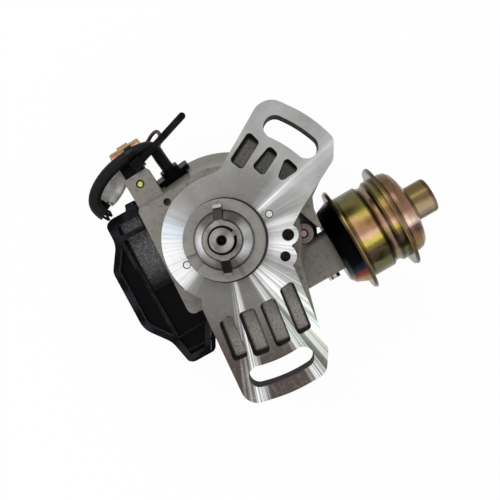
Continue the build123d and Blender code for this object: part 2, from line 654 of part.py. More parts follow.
with BuildPart() as cam_sleeve:
    with BuildSketch(Plane.XY.offset(CAM_Z - CAM_THICK)):
        Circle(9.5)
        SlotOverall(2 * 19.5, 9.0, rotation=90)
        SlotOverall(2 * 18.2, 5.0, rotation=MOVING_POST_ANGLE)
        for turn in (90, 270):
            with Locations(polar((DRIVE_PIN_AT + DRIVE_PIN_OUT) / 2, turn)):
                slot_length = DRIVE_PIN_OUT - DRIVE_PIN_AT + 2 * DRIVE_PIN_R + 0.6
                SlotOverall(slot_length, 2 * DRIVE_PIN_R + 0.3, rotation=90, mode=Mode.SUBTRACT)
    extrude(amount=CAM_THICK)
    with BuildSketch(Plane.XY.offset(CAM_Z)):
        for turn in (0, 180):
            with Locations(polar(SPRING_POST_R - 0.6, MOVING_POST_ANGLE + turn)):
                Circle(1.1)
    extrude(amount=3.4)
    with BuildSketch(Plane.XY.offset(SLEEVE_END)):
        Circle(SLEEVE_R)
    extrude(amount=CAM_Z - SLEEVE_END)
    with BuildSketch(Plane.XY.offset(SLEEVE_END)):
        Circle(SPINDLE_R + RUNNING)
    extrude(amount=CAM_Z - SLEEVE_END + 1, mode=Mode.SUBTRACT)
    # key flat for the rotor arm
    with BuildSketch(Plane.XY.offset(SLEEVE_END)):
        with Locations((SLEEVE_R, 0)):
            Rectangle(2.4, 14)
    extrude(amount=KEY_LONG, mode=Mode.SUBTRACT)
save(cam_sleeve, "cam_sleeve")


def governor_spring(turn):
    """Close-wound return spring between a fixed post and a moving post, with an eye at each end."""
    fixed = polar(SPRING_POST_R, FIXED_POST_ANGLE + turn)
    moving = polar(SPRING_POST_R - 0.6, MOVING_POST_ANGLE + turn)
    span = hypot(moving[0] - fixed[0], moving[1] - fixed[1])
    along = ((moving[0] - fixed[0]) / span, (moving[1] - fixed[1]) / span, 0)
    across = (-along[1], along[0], 0)
    frame = Plane(origin=(*fixed, SPRING_Z), x_dir=along, z_dir=(0, 0, 1))
    body_start = 2.3
    body_end = span - 2.3
    pitch = (body_end - body_start) / SPRING_COILS
    with BuildPart() as piece:
        with BuildSketch(frame):
            with BuildLine():
                edge = [(body_start, 0)]
                for coil in range(SPRING_COILS):
                    edge.append((body_start + coil * pitch, 1.25))
                    edge.append((body_start + (coil + 0.5) * pitch, 1.65))
                edge.append((body_end, 1.25))
                edge.append((body_end, 0))
                Polyline(*edge, close=True)
            make_face()
        revolve(axis=Axis((*fixed, SPRING_Z), along))
        with BuildSketch(frame.offset(-0.35)):
            for centre in (0, span):
                with Locations((centre, 0)):
                    Circle(1.95)
        extrude(amount=0.7)
        with BuildSketch(frame.offset(-0.35)):
            for centre in (0, span):
                with Locations((centre, 0)):
                    Circle(1.25)
        extrude(amount=0.7, mode=Mode.SUBTRACT)
        with BuildSketch(frame.offset(-0.35)):
            for start in (1.3, body_end - 0.2):
                with Locations((start + 0.6, 0)):
                    Rectangle(1.2, 0.7)
        extrude(amount=0.7)
    return piece.part


for spring_name, turn in (("governor_spring_a", 0), ("governor_spring_b", 180)):
    spring = governor_spring(turn)
    spring.label = spring_name
    export_step(spring, f"parts/{spring_name}.step")

# ---------------------------------------------------------------- plates inside the bowl
with BuildPart() as base_plate:
    base_room = bowl_outline(BASE_Z - PLATE_THICK, 36.5, FLAT_DIST - WALL - 0.6, 34.5, 31.0, WALL + 0.8)
    extrude(base_room, amount=PLATE_THICK)
    with BuildSketch(Plane.XY.offset(BASE_Z - PLATE_THICK)):
        Circle(BEARING_IN_R)
        for angle in BASE_SCREW_ANGLES:
            with Locations(polar(BASE_SCREW_R, angle)):
                Circle(1.6)
    extrude(amount=PLATE_THICK, mode=Mode.SUBTRACT)
save(base_plate, "base_plate")

with BuildPart() as base_plate_screws:
    for angle in BASE_SCREW_ANGLES:
        with BuildSketch(Plane.XY.offset(BASE_Z - PLATE_THICK)):
            with Locations(polar(BASE_SCREW_R, angle)):
                Circle(1.55)
        extrude(amount=PLATE_THICK)
        with BuildSketch(Plane.XY.offset(BASE_Z - PLATE_THICK)):
            with Locations(polar(BASE_SCREW_R, angle)):
                Circle(2.4)
        extrude(amount=-1.6)
save(base_plate_screws, "base_plate_screws")

ADVANCE_Z = VAC_Z - ROD_THICK / 2 - 1.2  # upper face of the advance plate
with BuildPart() as plate_bearing:
    with BuildSketch(radial_plane(0)):
        with BuildLine():
            Polyline(
                (BEARING_IN_R, BASE_Z - PLATE_THICK), (BEARING_OUT_R + 2, BASE_Z - PLATE_THICK),
                (BEARING_OUT_R + 2, ADVANCE_Z), (BEARING_OUT_R, ADVANCE_Z),
                (BEARING_OUT_R, ADVANCE_Z - PLATE_THICK - 0.6), (BEARING_IN_R, ADVANCE_Z - PLATE_THICK - 0.6),
                close=True,
            )
        make_face()
    revolve(axis=Axis.Z)
save(plate_bearing, "plate_bearing")

PIN_ANGLE = VAC_ANGLE - 90 - ADVANCE_ANGLE / 2  # the rod's pin at rest, half the travel before the foot point
PIN_ORBIT = VAC_OFFSET / cos(radians(ADVANCE_ANGLE / 4))
with BuildPart() as advance_plate:
    with BuildSketch(Plane.XY.offset(ADVANCE_Z - PLATE_THICK)):
        Circle(ADVANCE_PLATE_R)
        with Locations(polar(PIN_ORBIT, PIN_ANGLE)):
            Circle(3.2)
        with Locations(polar(PIN_ORBIT - 5, PIN_ANGLE)):
            Rectangle(10, 6.4, rotation=PIN_ANGLE)
        with Locations(polar(PICKUP_R, PICKUP_ANGLE)):
            Rectangle(15, 13, rotation=PICKUP_ANGLE)
        Circle(BEARING_OUT_R + RUNNING, mode=Mode.SUBTRACT)
    extrude(amount=PLATE_THICK)
    with BuildSketch(Plane.XY.offset(ADVANCE_Z)):
        with Locations(polar(PIN_ORBIT, PIN_ANGLE)):
            Circle(ROD_PIN_R)
    extrude(amount=1.2 + ROD_THICK + 0.6)
save(advance_plate, "advance_plate")

# ---------------------------------------------------------------- signal rotor and its pickup
with BuildPart() as signal_rotor:
    with BuildSketch(Plane.XY.offset(TOOTH_TOP - TOOTH_HIGH)):
        Circle(9.2)
        for tooth in range(4):
            with BuildLine():
                Polyline(
                    polar(8.5, tooth * 90 - 22), polar(TOOTH_R, tooth * 90 - 8), polar(TOOTH_R, tooth * 90 + 8),
                    polar(8.5, tooth * 90 + 22), close=True,
                )
            make_face()
        Circle(SLEEVE_R, mode=Mode.SUBTRACT)
    extrude(amount=TOOTH_HIGH)
save(signal_rotor, "signal_rotor")

pickup_frame = turned(PICKUP_ANGLE)
with BuildPart() as pickup_pole:
    with BuildSketch(pickup_frame.offset(ADVANCE_Z - PLATE_THICK - 7)):
        with Locations(((12.5 + 21) / 2, 0)):
            Rectangle(21 - 12.5, 3.0)
    extrude(amount=3.0)
    with BuildSketch(pickup_frame.offset(ADVANCE_Z - PLATE_THICK - 7)):
        with Locations((22.2, 0)):
            Rectangle(2.4, 9)
    extrude(amount=7)
save(pickup_pole, "pickup_pole")

with BuildPart() as pickup_coil:
    with BuildSketch(radial_plane(PICKUP_ANGLE)):
        with BuildLine():
            middle = ADVANCE_Z - PLATE_THICK - 5.5
            Polyline(
                (14.4, middle + 2.2), (14.4, middle + 4.0), (15.4, middle + 4.0), (15.4, middle + 3.3),
                (19.6, middle + 3.3), (19.6, middle + 4.0), (20.6, middle + 4.0), (20.6, middle + 2.2), close=True,
            )
        make_face()
    revolve(axis=Axis((0, 0, middle), (*polar(1, PICKUP_ANGLE), 0)))
save(pickup_coil, "pickup_coil")

# ---------------------------------------------------------------- rotor arm
with BuildPart() as rotor_arm:
    with BuildSketch(Plane.XY.offset(ARM_FACE_Z)):
        Circle(ARM_HUB_R)
    extrude(amount=SLEEVE_END + KEY_LONG - ARM_FACE_Z)
    with BuildSketch(Plane.XY.offset(ARM_FACE_Z)):
        with Locations((6.4, 0)):
            SlotOverall(33.4, 13)
    extrude(amount=5)
    with BuildSketch(Plane.XY.offset(SLEEVE_END)):
        Circle(SLEEVE_R)
        with Locations((SLEEVE_R, 0)):
            Rectangle(2.4, 14, mode=Mode.SUBTRACT)
    extrude(amount=KEY_LONG + 1, mode=Mode.SUBTRACT)
    with BuildSketch(Plane.XY.offset(SLEEVE_END)):
        Circle(SCREW_HEAD_R + 0.5)
    extrude(amount=-3.0, mode=Mode.SUBTRACT)
save(rotor_arm, "rotor_arm")

with BuildPart() as rotor_contact:
    with BuildSketch(Plane.XY.offset(ARM_FACE_Z - 1.2)):
        with Locations((11.3, 0)):
            SlotOverall(28.2, 5)
    extrude(amount=1.2)
    with BuildSketch(Plane.XY.offset(ARM_FACE_Z - 1.2)):
        with Locations((24.5, 0)):
            Rectangle(2.4, 8)
    extrude(amount=4.0)
save(rotor_contact, "rotor_contact")

with BuildPart() as rotor_screw:
    with BuildSketch(Plane.XY.offset(SLEEVE_END - 1.6)):
        Circle(SCREW_HEAD_R)
    extrude(amount=1.5)
    with BuildSketch(Plane.XY.offset(SLEEVE_END - 0.1)):
        Circle(1.45)
    extrude(amount=6)
save(rotor_screw, "rotor_screw")

# ---------------------------------------------------------------- igniter on the flat wall
igniter_mid = (FLAT_DIST - WALL - IGNITER_DEEP / 2, 0)
with BuildPart() as igniter_module:
    with BuildSketch(flat_side.offset(RIM_Z + 0.6)):
        with Locations(igniter_mid):
            RectangleRounded(IGNITER_DEEP, 26, 1.2)
    extrude(amount=IGNITER_HIGH)
    with BuildSketch(igniter_face.offset(-IGNITER_DEEP)):
        with Locations(*IGNITER_SCREWS):
            Circle(1.4)
    extrude(amount=IGNITER_DEEP, mode=Mode.SUBTRACT)
save(igniter_module, "igniter_module")

with BuildPart() as igniter_screws:
    with BuildSketch(igniter_face.offset(-IGNITER_DEEP)):
        with Locations(*IGNITER_SCREWS):
            Circle(2.3)
    extrude(amount=-1.5)
    with BuildSketch(igniter_face.offset(-IGNITER_DEEP)):
        with Locations(*IGNITER_SCREWS):
            Circle(1.35)
    extrude(amount=IGNITER_DEEP + 2.0)
save(igniter_screws, "igniter_screws")

# ---------------------------------------------------------------- vacuum advance unit
wall = VAC_SHEET
lathe_on_vacuum_axis(
    "vacuum_back_shell",
    [
        (BOSS_END, ROD_BORE_R), (BOSS_END, 17.5), (45.0, 20.2), (50.6, 22.6), (FLANGE_A - wall, 23.2),
        (FLANGE_A - wall, FLANGE_R), (FLANGE_A, FLANGE_R), (FLANGE_A, 22.0), (50.8, 21.4), (45.8, 19.2),
        (BOSS_END + wall, 16.6), (BOSS_END + wall, ROD_BORE_R),
    ],
)
lathe_on_vacuum_axis(
    "vacuum_can",
    [
        (FLANGE_A, FLANGE_R + 0.6), (FLANGE_A + wall, FLANGE_R + 0.6), (FLANGE_A + wall, 23.0), (FLANGE_A + 1.8, CAN_R),
        (66.0, CAN_R), (67.2, 20.9), (68.6, 20.4), (70.0, 20.9), (71.2, CAN_R), (FLANGE_B - 1.0, CAN_R),
        (FLANGE_B - wall, 23.0), (FLANGE_B - wall, FLANGE_R), (FLANGE_B, FLANGE_R), (FLANGE_B, 21.0),
        (71.6, 21.0), (70.4, 19.9), (68.6, 19.4), (66.8, 19.9), (65.6, 21.0), (FLANGE_A, 21.0),
    ],
)
lathe_on_vacuum_axis(
    "vacuum_dome",
    [
        (FLANGE_B, FLANGE_R + 0.5), (FLANGE_B + wall, FLANGE_R + 0.5), (FLANGE_B + wall, 22.6),
        (FLANGE_B + 1.6, DOME_R), (80.5, DOME_R), (82.9, 21.0), (84.7, 19.2), (86.0, 16.2), (86.9, 12.6),
        (87.2, NOSE_R + 0.6), (87.8, NOSE_R), (NOSE_END - 1.4, NOSE_R), (NOSE_END - 0.4, NOSE_R - 0.5), (NOSE_END, NOSE_R - 1.6),
        (NOSE_END, 0), (NOSE_END - wall, 0), (NOSE_END - wall, NOSE_R - 1.4), (86.2, NOSE_R - 1.0), (85.9, 12.4),
        (85.1, 15.7), (83.9, 18.3), (82.3, 20.1), (80.2, 20.7), (FLANGE_B, 20.7),
    ],
)
with BuildPart() as vacuum_ports:
    for station, radius, low in ((60.0, CAN_R, 34.0), (92.5, NOSE_R, 24.0)):
        spot = polar(VAC_OFFSET, VAC_ANGLE - 90)
        along = polar(station, VAC_ANGLE)
        foot = (spot[0] + along[0], spot[1] + along[1])
        with BuildSketch(Plane.XY.offset(VAC_Z - low + PORT_LEAD)):
            with Locations(foot):
                Circle(PORT_R)
        extrude(amount=low - PORT_LEAD - radius + 1.5)
        with BuildSketch(Plane.XY.offset(VAC_Z - low + PORT_LEAD)):
            with Locations(foot):
                Circle(PORT_R)
        extrude(amount=-PORT_LEAD, taper=24)
        with BuildSketch(Plane.XY.offset(VAC_Z - radius - PORT_FOOT)):
            with Locations(foot):
                Circle(PORT_R + 0.9)
        extrude(amount=PORT_FOOT + 1.5)
        with BuildSketch(Plane.XY.offset(VAC_Z - low)):
            with Locations(foot):
                Circle(1.3)
        extrude(amount=low - radius - 1, mode=Mode.SUBTRACT)
        # saddled on the shell
        with BuildSketch(boss_plane.offset(station - 5)):
            Circle(radius)
        extrude(amount=10, mode=Mode.SUBTRACT)
save(vacuum_ports, "vacuum_ports")

with BuildPart() as vacuum_rod:
    with BuildSketch(Plane.XY.offset(VAC_Z - ROD_THICK / 2)):
        pin = polar(PIN_ORBIT, PIN_ANGLE)
        pin_station = -PIN_ORBIT * sin(radians(ADVANCE_ANGLE / 2))
        with Locations(pin):
            Circle(3.6)
        rod_end = CUP_STATION - 0.8
        rod_middle = (rod_end + pin_station) / 2
        spot = polar(VAC_OFFSET, VAC_ANGLE - 90)
        along = polar(rod_middle, VAC_ANGLE)
        with Locations((spot[0] + along[0], spot[1] + along[1])):
            Rectangle(rod_end - pin_station, 4.4, rotation=VAC_ANGLE)
        # the eye is slotted across the rod, because its pin runs on an arc
        with Locations(pin):
            SlotOverall(2 * ROD_PIN_R + 0.7, 2 * ROD_PIN_R + 0.12, rotation=VAC_ANGLE - 90, mode=Mode.SUBTRACT)
    extrude(amount=ROD_THICK)
save(vacuum_rod, "vacuum_rod")

lathe_on_vacuum_axis(
    "diaphragm_cup",
    [
        (CUP_STATION, 0), (CUP_STATION, 13.0), (CUP_STATION + 3.5, 14.0), (CUP_STATION + 3.5, 15.0),
        (CUP_STATION + 2.7, 15.0), (CUP_STATION + 0.2, 14.2), (CUP_STATION - 0.8, 13.6), (CUP_STATION - 0.8, 0),
    ],
)
lathe_on_vacuum_axis(
    "diaphragm",
    [
        (FLANGE_A + 0.9, 21.0), (FLANGE_A, 21.0), (FLANGE_A, 20.2), (CUP_STATION + 2.9, 18.6), (CUP_STATION + 2.9, 15.1),
        (CUP_STATION + 3.7, 15.1), (CUP_STATION + 3.7, 18.2), (FLANGE_A + 0.9, 19.8),
    ],
)
with BuildPart() as vacuum_spring:
    foot = polar(VAC_OFFSET, VAC_ANGLE - 90)
    along = polar(CUP_STATION + VAC_WIRE_R + 0.02, VAC_ANGLE)
    with BuildLine() as coil_path:
        Helix(
            pitch=VAC_SPRING_LONG / 7, height=VAC_SPRING_LONG, radius=6.2,
            center=(foot[0] + along[0], foot[1] + along[1], VAC_Z), direction=(*polar(1, VAC_ANGLE), 0),
        )
    with BuildSketch(Plane(origin=coil_path.line @ 0, z_dir=coil_path.line % 0)):
        Circle(VAC_WIRE_R)
    sweep(path=coil_path.line, is_frenet=True)
save(vacuum_spring, "vacuum_spring")

with BuildPart() as vacuum_screw:
    with BuildSketch(vacuum_screw_frame):
        Circle(3.0)
    extrude(amount=2.0)
    with BuildSketch(vacuum_screw_frame.offset(2.0)):
        Rectangle(6.2, 0.9)
    extrude(amount=-0.8, mode=Mode.SUBTRACT)
    with BuildSketch(vacuum_screw_frame):
        Circle(1.65)
    extrude(amount=-5.1)
save(vacuum_screw, "vacuum_screw")

# ---------------------------------------------------------------- cap
def cap_outline(height, inset=0.0, beside=None):
    """Plan of the cap's rim: round, with the tub over the coil; beside keeps the tub alone, that much wider inwards."""
    with BuildSketch(flat_side.offset(height)) as outline:
        Circle(CAP_R)
        with BuildLine():
            FilletPolyline(
                (-4, -30), (2, -44.5), (35, -39.2), (36, -40.9), (41.5, -40.9), (42.2, -37.8), (55.2, -37.2),
                (55, -24), (62.6, -12), (61.5, 22), (51.2, 34.5), (47.6, 48.8), (33, 48.2), (28, 38),
                radius=[1, 1, 0.5, 0.8, 0.8, 5, 9, 9, 14, 10, 4, 3],
            )
            Line((28, 38), (-4, -30))
        make_face()
        if inset:
            offset(amount=-inset, mode=Mode.REPLACE)
        if beside is not None:
            near, notch, side = BOX_NEAR - beside, 22 - beside, 26.5 - beside
            Polygon(
                (near, -60), (80, -60), (80, 60), (notch, 60), (notch, side), (near, side),
                align=None, mode=Mode.INTERSECT,
            )
    return outline.sketch


def beside_flat(height, near, reach, low, high):
    """Rectangle beside the flat, in flat-side coordinates."""
    with BuildSketch(flat_side.offset(height)) as outline:
        with Locations((near + reach / 2, (low + high) / 2)):
            Rectangle(reach, high - low)
    return outline.sketch


BOX_NEAR = FLAT_DIST + 0.5
with BuildPart() as cap:
    # rim flange
    extrude(cap_outline(CAP_TOP), amount=-CAP_FLANGE)
    # tub beside the housing: a lip round a floor that is open towards the flat
    extrude(cap_outline(CAP_TOP - 1, LIP_INSET, 0), amount=LIP_Z - CAP_TOP + 1)
    extrude(cap_outline(LIP_Z, LIP_INSET + LIP_WIDE, 1), amount=SHELF_Z - LIP_Z, mode=Mode.SUBTRACT)
    # block at its upper end, with a shallow pocket
    extrude(beside_flat(SHELF_Z - 1, BOX_NEAR, 18.0, -35, -23.8), amount=LIP_Z - SHELF_Z + 1)
    extrude(beside_flat(LIP_Z, BOX_NEAR + 3.2, 12.6, -31.6, -26.4), amount=-BLOCK_POCKET, mode=Mode.SUBTRACT)
    # ridge along the floor and ribs across it
    for corners, top in TUB_RIBS:
        with BuildSketch(flat_side.offset(SHELF_Z - 1)):
            Polygon(*corners, align=None)
        extrude(amount=top - SHELF_Z + 1)
    # dome over the rotor and housing of the coil
    with BuildSketch(flat_side.offset(CAP_TOP - CAP_FLANGE)):
        with BuildLine():
            FilletPolyline(
                (20, -24), (44, -24), (52, -20), (60, -10), (59.4, 20), (54, 26), (20, 26),
                radius=[3, 5, 8, 8, 4],
            )
            Line((20, 26), (20, -24))
        make_face()
    extrude(amount=COIL_END - CAP_TOP + CAP_FLANGE, taper=1.0)
    with BuildSketch(Plane.XY.offset(CAP_TOP - CAP_FLANGE)):
        Circle(38.9)
    extrude(amount=DOME_END - CAP_TOP + CAP_FLANGE, taper=1.0)
    # plug towers
    for angle in TOWER_ANGLES:
        with BuildSketch(Plane.XY.offset(DOME_END + 1)):
            with Locations(polar(TOWER_RING_R, angle)):
                Circle(8.0)
        extrude(amount=TOWER_TIP - DOME_END - 1, taper=0.8)
    # rotor chamber: follows the bowl's mouth at the rim, round below it
    with BuildSketch(flat_side.offset(CAP_TOP)):
        Circle(35.6)
        with Locations((28.8 - 40, 0)):
            Rectangle(80, 80, mode=Mode.INTERSECT)
    extrude(amount=-CAP_FLANGE - 1, mode=Mode.SUBTRACT)
    with BuildSketch(Plane.XY.offset(CAP_TOP - CAP_FLANGE - 1)):
        Circle(35.6)
    extrude(amount=CHAMBER_END - CAP_TOP + CAP_FLANGE + 1, mode=Mode.SUBTRACT)
    # coil chamber beside it
    with BuildSketch(flat_side.offset(SHELF_Z - 2.5)):
        Polygon((36.5, -18.5), (49, -18.5), (56.5, -9), (56, 18.5), (36.5, 18.5), align=None)
    extrude(amount=COIL_END + 3 - SHELF_Z + 2.5, mode=Mode.SUBTRACT)
    extrude(beside_flat(-60, 28, 12, -16, 16), amount=-22, mode=Mode.SUBTRACT)
    # bosses that the coil is screwed to
    for side in (-1, 1):
        with BuildSketch(coil_frame.offset(CORE_FAR)):
            with Locations((side * 13, 0)):
                Circle(3)
                Circle(1.5, mode=Mode.SUBTRACT)
        extrude(amount=6.9)
    # holder of the centre brush
    with BuildSketch(Plane.XY.offset(CHAMBER_END)):
        Circle(4.6)
    extrude(amount=9)
    with BuildSketch(Plane.XY.offset(CHAMBER_END + 9)):
        Circle(2.3)
    extrude(amount=-11, mode=Mode.SUBTRACT)
    # tower bores, terminal holes, screw holes and pockets for their heads
    for angle in TOWER_ANGLES:
        with BuildSketch(Plane.XY.offset(TOWER_TIP)):
            with Locations(polar(TOWER_RING_R, angle)):
                Circle(TOWER_BORE_R)
        extrude(amount=TOWER_DEEP, mode=Mode.SUBTRACT)
        with BuildSketch(Plane.XY.offset(TOWER_TIP)):
            with Locations(polar(TOWER_RING_R, angle)):
                Circle(TERMINAL_R)
        extrude(amount=CHAMBER_END + 1 - TOWER_TIP, mode=Mode.SUBTRACT)
    for radius, angle in CAP_SCREWS:
        with BuildSketch(Plane.XY.offset(CAP_TOP)):
            with Locations(polar(radius, angle)):
                Circle(2.1)
        extrude(amount=-CAP_FLANGE - 1, mode=Mode.SUBTRACT)
        with BuildSketch(Plane.XY.offset(CAP_TOP - CAP_FLANGE)):
            with Locations(polar(radius, angle)):
                Circle(4.2)
        extrude(amount=-40, mode=Mode.SUBTRACT)
save(cap, "cap")

with BuildPart() as cap_gasket:
    extrude(bowl_outline(CAP_TOP, RIM_R - 0.2, FLAT_DIST - 0.2, 43.2, 37.4), amount=GASKET)
    extrude(bowl_outline(CAP_TOP, *inner_rim), amount=GASKET, mode=Mode.SUBTRACT)
    with BuildSketch(Plane.XY.offset(CAP_TOP)):
        for radius, angle in CAP_SCREWS:
            with Locations(polar(radius, angle)):
                Circle(2.2)
    extrude(amount=GASKET, mode=Mode.SUBTRACT)
save(cap_gasket, "cap_gasket")

with BuildPart() as cap_screws:
    for radius, angle in CAP_SCREWS:
        with BuildSketch(Plane.XY.offset(CAP_TOP - CAP_FLANGE)):
            with Locations(polar(radius, angle)):
                Circle(3.4)
        extrude(amount=-2.6)
        with BuildSketch(Plane.XY.offset(CAP_TOP - CAP_FLANGE)):
            with Locations(polar(radius, angle)):
                Circle(1.65)
        extrude(amount=CAP_FLANGE + GASKET + 9)
save(cap_screws, "cap_screws")

with BuildPart() as cap_terminals:
    for angle in TOWER_ANGLES:
        with BuildSketch(Plane.XY.offset(TOWER_TIP + TOWER_DEEP)):
            with Locations(polar(TOWER_RING_R, angle)):
                Circle(TERMINAL_R)
        extrude(amount=ARM_FACE_Z + 3.5 - TOWER_TIP - TOWER_DEEP)
save(cap_terminals, "cap_terminals")

with BuildPart() as centre_brush:
    with BuildSketch(Plane.XY.offset(ARM_FACE_Z - 1.2 - 0.2 - 7)):
        Circle(2.2)
    extrude(amount=7)
save(centre_brush, "centre_brush")

with BuildPart() as brush_spring:
    with BuildSketch(Plane.XY.offset(CHAMBER_END - 2)):
        Circle(1.8)
        Circle(1.2, mode=Mode.SUBTRACT)
    extrude(amount=ARM_FACE_Z - 1.4 - 7 - CHAMBER_END + 2)
save(brush_spring, "brush_spring")

# ---------------------------------------------------------------- ignition coil inside the cap
with BuildPart() as coil_core:
    with BuildSketch(coil_frame.offset(CORE_NEAR)):
        Rectangle(32, 28)
        for side in (-1, 1):
            with Locations((side * 7, 0)):
                Rectangle(6, 18, mode=Mode.SUBTRACT)
            with Locations((side * 13, 0)):
                Circle(1.6, mode=Mode.SUBTRACT)
    extrude(amount=CORE_FAR - CORE_NEAR)
save(coil_core, "coil_core")

with BuildPart() as coil_winding:
    with BuildSketch(coil_frame.offset(CORE_NEAR - 3)):
        RectangleRounded(19.6, 17.6, 2.5)
    extrude(amount=CORE_FAR - CORE_NEAR + 6)
    with BuildSketch(coil_frame.offset(CORE_NEAR)):
        Rectangle(8, 20)
    extrude(amount=CORE_FAR - CORE_NEAR, mode=Mode.SUBTRACT)
save(coil_winding, "coil_winding")

with BuildPart() as coil_screws:
    for side in (-1, 1):
        with BuildSketch(coil_frame.offset(CORE_NEAR)):
            with Locations((side * 13, 0)):
                Circle(2.8)
        extrude(amount=-2)
        with BuildSketch(coil_frame.offset(CORE_NEAR)):
            with Locations((side * 13, 0)):
                Circle(1.45)
        extrude(amount=CORE_FAR - CORE_NEAR + 1.6)
save(coil_screws, "coil_screws")

# ---------------------------------------------------------------- condenser, its bracket and lead
LUG_AXIS = 121.7  # direction in which the lug stands out
with BuildPart() as condenser_bracket:
    arm = Plane(origin=(*LUG_SCREW, LUG_TOP - LUG_THICK), x_dir=(*polar(1, LUG_AXIS), 0), z_dir=(0, 0, 1))
    with BuildSketch(arm):
        with Locations((5.2, 0)):
            RectangleRounded(21, 11.5, 2.5)
        Circle(2.0, mode=Mode.SUBTRACT)
    extrude(amount=-BRACKET_THICK)
    with BuildSketch(arm):
        with Locations((12.62, 0)):
            Rectangle(SADDLE_THICK, 6)
    extrude(amount=CONDENSER_FROM[2] - 0.3 - LUG_TOP + LUG_THICK)
    # saddle under the can
    with BuildSketch(can_frame.offset(CONDENSER_LONG / 2 - 3.5)):
        Circle(CONDENSER_R + SADDLE_THICK)
        Circle(CONDENSER_R, mode=Mode.SUBTRACT)
        with Locations((-10, 0)):
            Rectangle(20, 20, mode=Mode.INTERSECT)
    extrude(amount=6)
save(condenser_bracket, "condenser_bracket")

with BuildPart() as condenser:
    with BuildSketch(can_frame):
        Circle(CONDENSER_R)
    extrude(amount=CONDENSER_LONG)
    fillet(condenser.edges().filter_by(GeomType.CIRCLE), 0.9)
save(condenser, "condenser")

with BuildPart() as lug_screw:
    with BuildSketch(Plane.XY.offset(LUG_TOP - LUG_THICK - BRACKET_THICK)):
        with Locations(LUG_SCREW):
            Circle(3.4)
    extrude(amount=-2.4)
    with BuildSketch(Plane.XY.offset(LUG_TOP - LUG_THICK - BRACKET_THICK)):
        with Locations(LUG_SCREW):
            Circle(1.85)
    extrude(amount=BRACKET_THICK + LUG_THICK - 0.4)
    chamfer(lug_screw.faces().sort_by(Axis.Z)[-1].edges(), 0.6)
save(lug_screw, "lug_screw")


def corner_radii(points, share=0.45):
    """Largest arc at each corner that its two runs allow."""
    radii = []
    for before, at, after in zip(points, points[1:], points[2:]):
        run_in = Vector(*at) - Vector(*before)
        run_out = Vector(*after) - Vector(*at)
        half_turn = radians(run_in.get_angle(run_out)) / 2
        radii.append(share * min(run_in.length, run_out.length) / tan(half_turn))
    return radii


def tube(name, points, radius):
    """Round lead along straight runs joined by tangent arcs."""
    radii = corner_radii(points)
    with BuildPart() as piece:
        with BuildLine() as route:
            FilletPolyline(*points, radius=radii)
        with BuildSketch(Plane(origin=route.line @ 0, z_dir=route.line % 0)):
            Circle(radius)
        sweep(path=route.line)
    run = sum(edge.length for edge in route.line.edges())
    ratio = piece.part.volume / (pi * radius**2 * run)
    print(name, "length", round(run, 1), "volume ratio", round(ratio, 4), "radii", [round(r, 1) for r in radii])
    save(piece, name)


tube("condenser_lead", CONDENSER_LEAD_ROUTE, CONDENSER_LEAD_R)

# ---------------------------------------------------------------- sleeved lead with its connector
with BuildPart() as lead_grommet:
    with BuildSketch(grommet_plane.offset(-3)):
        RectangleRounded(*GROMMET_NECK, 2)
    extrude(amount=3 + GROMMET_STAND)
    with BuildSketch(grommet_plane.offset(GROMMET_STAND)):
        RectangleRounded(18.5, 12.0, 2.5)
    extrude(amount=2.4)
    with BuildSketch(grommet_plane.offset(GROMMET_STAND + 2.4)):
        RectangleRounded(9.8, 11.4, 4.5)
    extrude(amount=2.6)
save(lead_grommet, "lead_grommet")

tube("lead_sleeve", LEAD_ROUTE, LEAD_D / 2)

with BuildPart() as lead_wires:
    for side in (-1, 1):
        points = [tuple(Vector(*at) + Vector(*shift) * side) for at, shift in zip(WIRE_ROUTE, WIRE_SHIFT)]
        with BuildLine() as wire_route:
            FilletPolyline(*points, radius=corner_radii(points, 0.42))
        with BuildSketch(Plane(origin=wire_route.line @ 0, z_dir=wire_route.line % 0)):
            Circle(WIRE_R)
        sweep(path=wire_route.line)
save(lead_wires, "lead_wires")

connector_along = Vector(*CONNECTOR_TO) - Vector(*CONNECTOR_FROM)
connector_frame = Plane(origin=CONNECTOR_FROM, x_dir=(0, 0, 1), z_dir=connector_along)
with BuildPart() as lead_connector:
    for station, wide, high in ((0, 7.6, 5.6), (5.0, 8.8, 7.2), (12.0, 8.0, 7.2), (connector_along.length, 7.0, 7.0)):
        with BuildSketch(connector_frame.offset(station)):
            RectangleRounded(high, wide, 1.6)
    loft()
    with BuildSketch(connector_frame.offset(connector_along.length)):
        Rectangle(4.6, 5.0)
    extrude(amount=-6, mode=Mode.SUBTRACT)
save(lead_connector, "lead_connector")

with BuildPart() as wire_seal:
    with BuildSketch(connector_frame):
        RectangleRounded(4.2, 5.6, 1.4)
    extrude(amount=-2.6)
save(wire_seal, "wire_seal")

with BuildPart() as cable_tie:
    tie_frame = Plane(origin=TIE_AT, x_dir=(0, 0, 1), z_dir=TIE_ALONG)
    with BuildSketch(tie_frame.offset(-TIE_WIDE / 2)):
        Circle(LEAD_D / 2 + 1.4)
        Circle(LEAD_D / 2 + 0.25, mode=Mode.SUBTRACT)
    extrude(amount=TIE_WIDE)
    tail_along = Vector(*TAIL_TIP) - Vector(*TAIL_ROOT)
    tail_frame = Plane(origin=TAIL_ROOT, x_dir=tail_along, z_dir=(0, 0, 1))
    with BuildSketch(tail_frame):
        with Locations((tail_along.length / 2, 0)):
            SlotOverall(tail_along.length + 4, TIE_WIDE - 0.6)
    extrude(amount=1.3)
    with BuildSketch(tail_frame.offset(-1.8)):
        Rectangle(6.0, 5.4)
    extrude(amount=4.4)
save(cable_tie, "cable_tie")
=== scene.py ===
import math

import bmesh
import bpy
from mathutils import Matrix, Vector


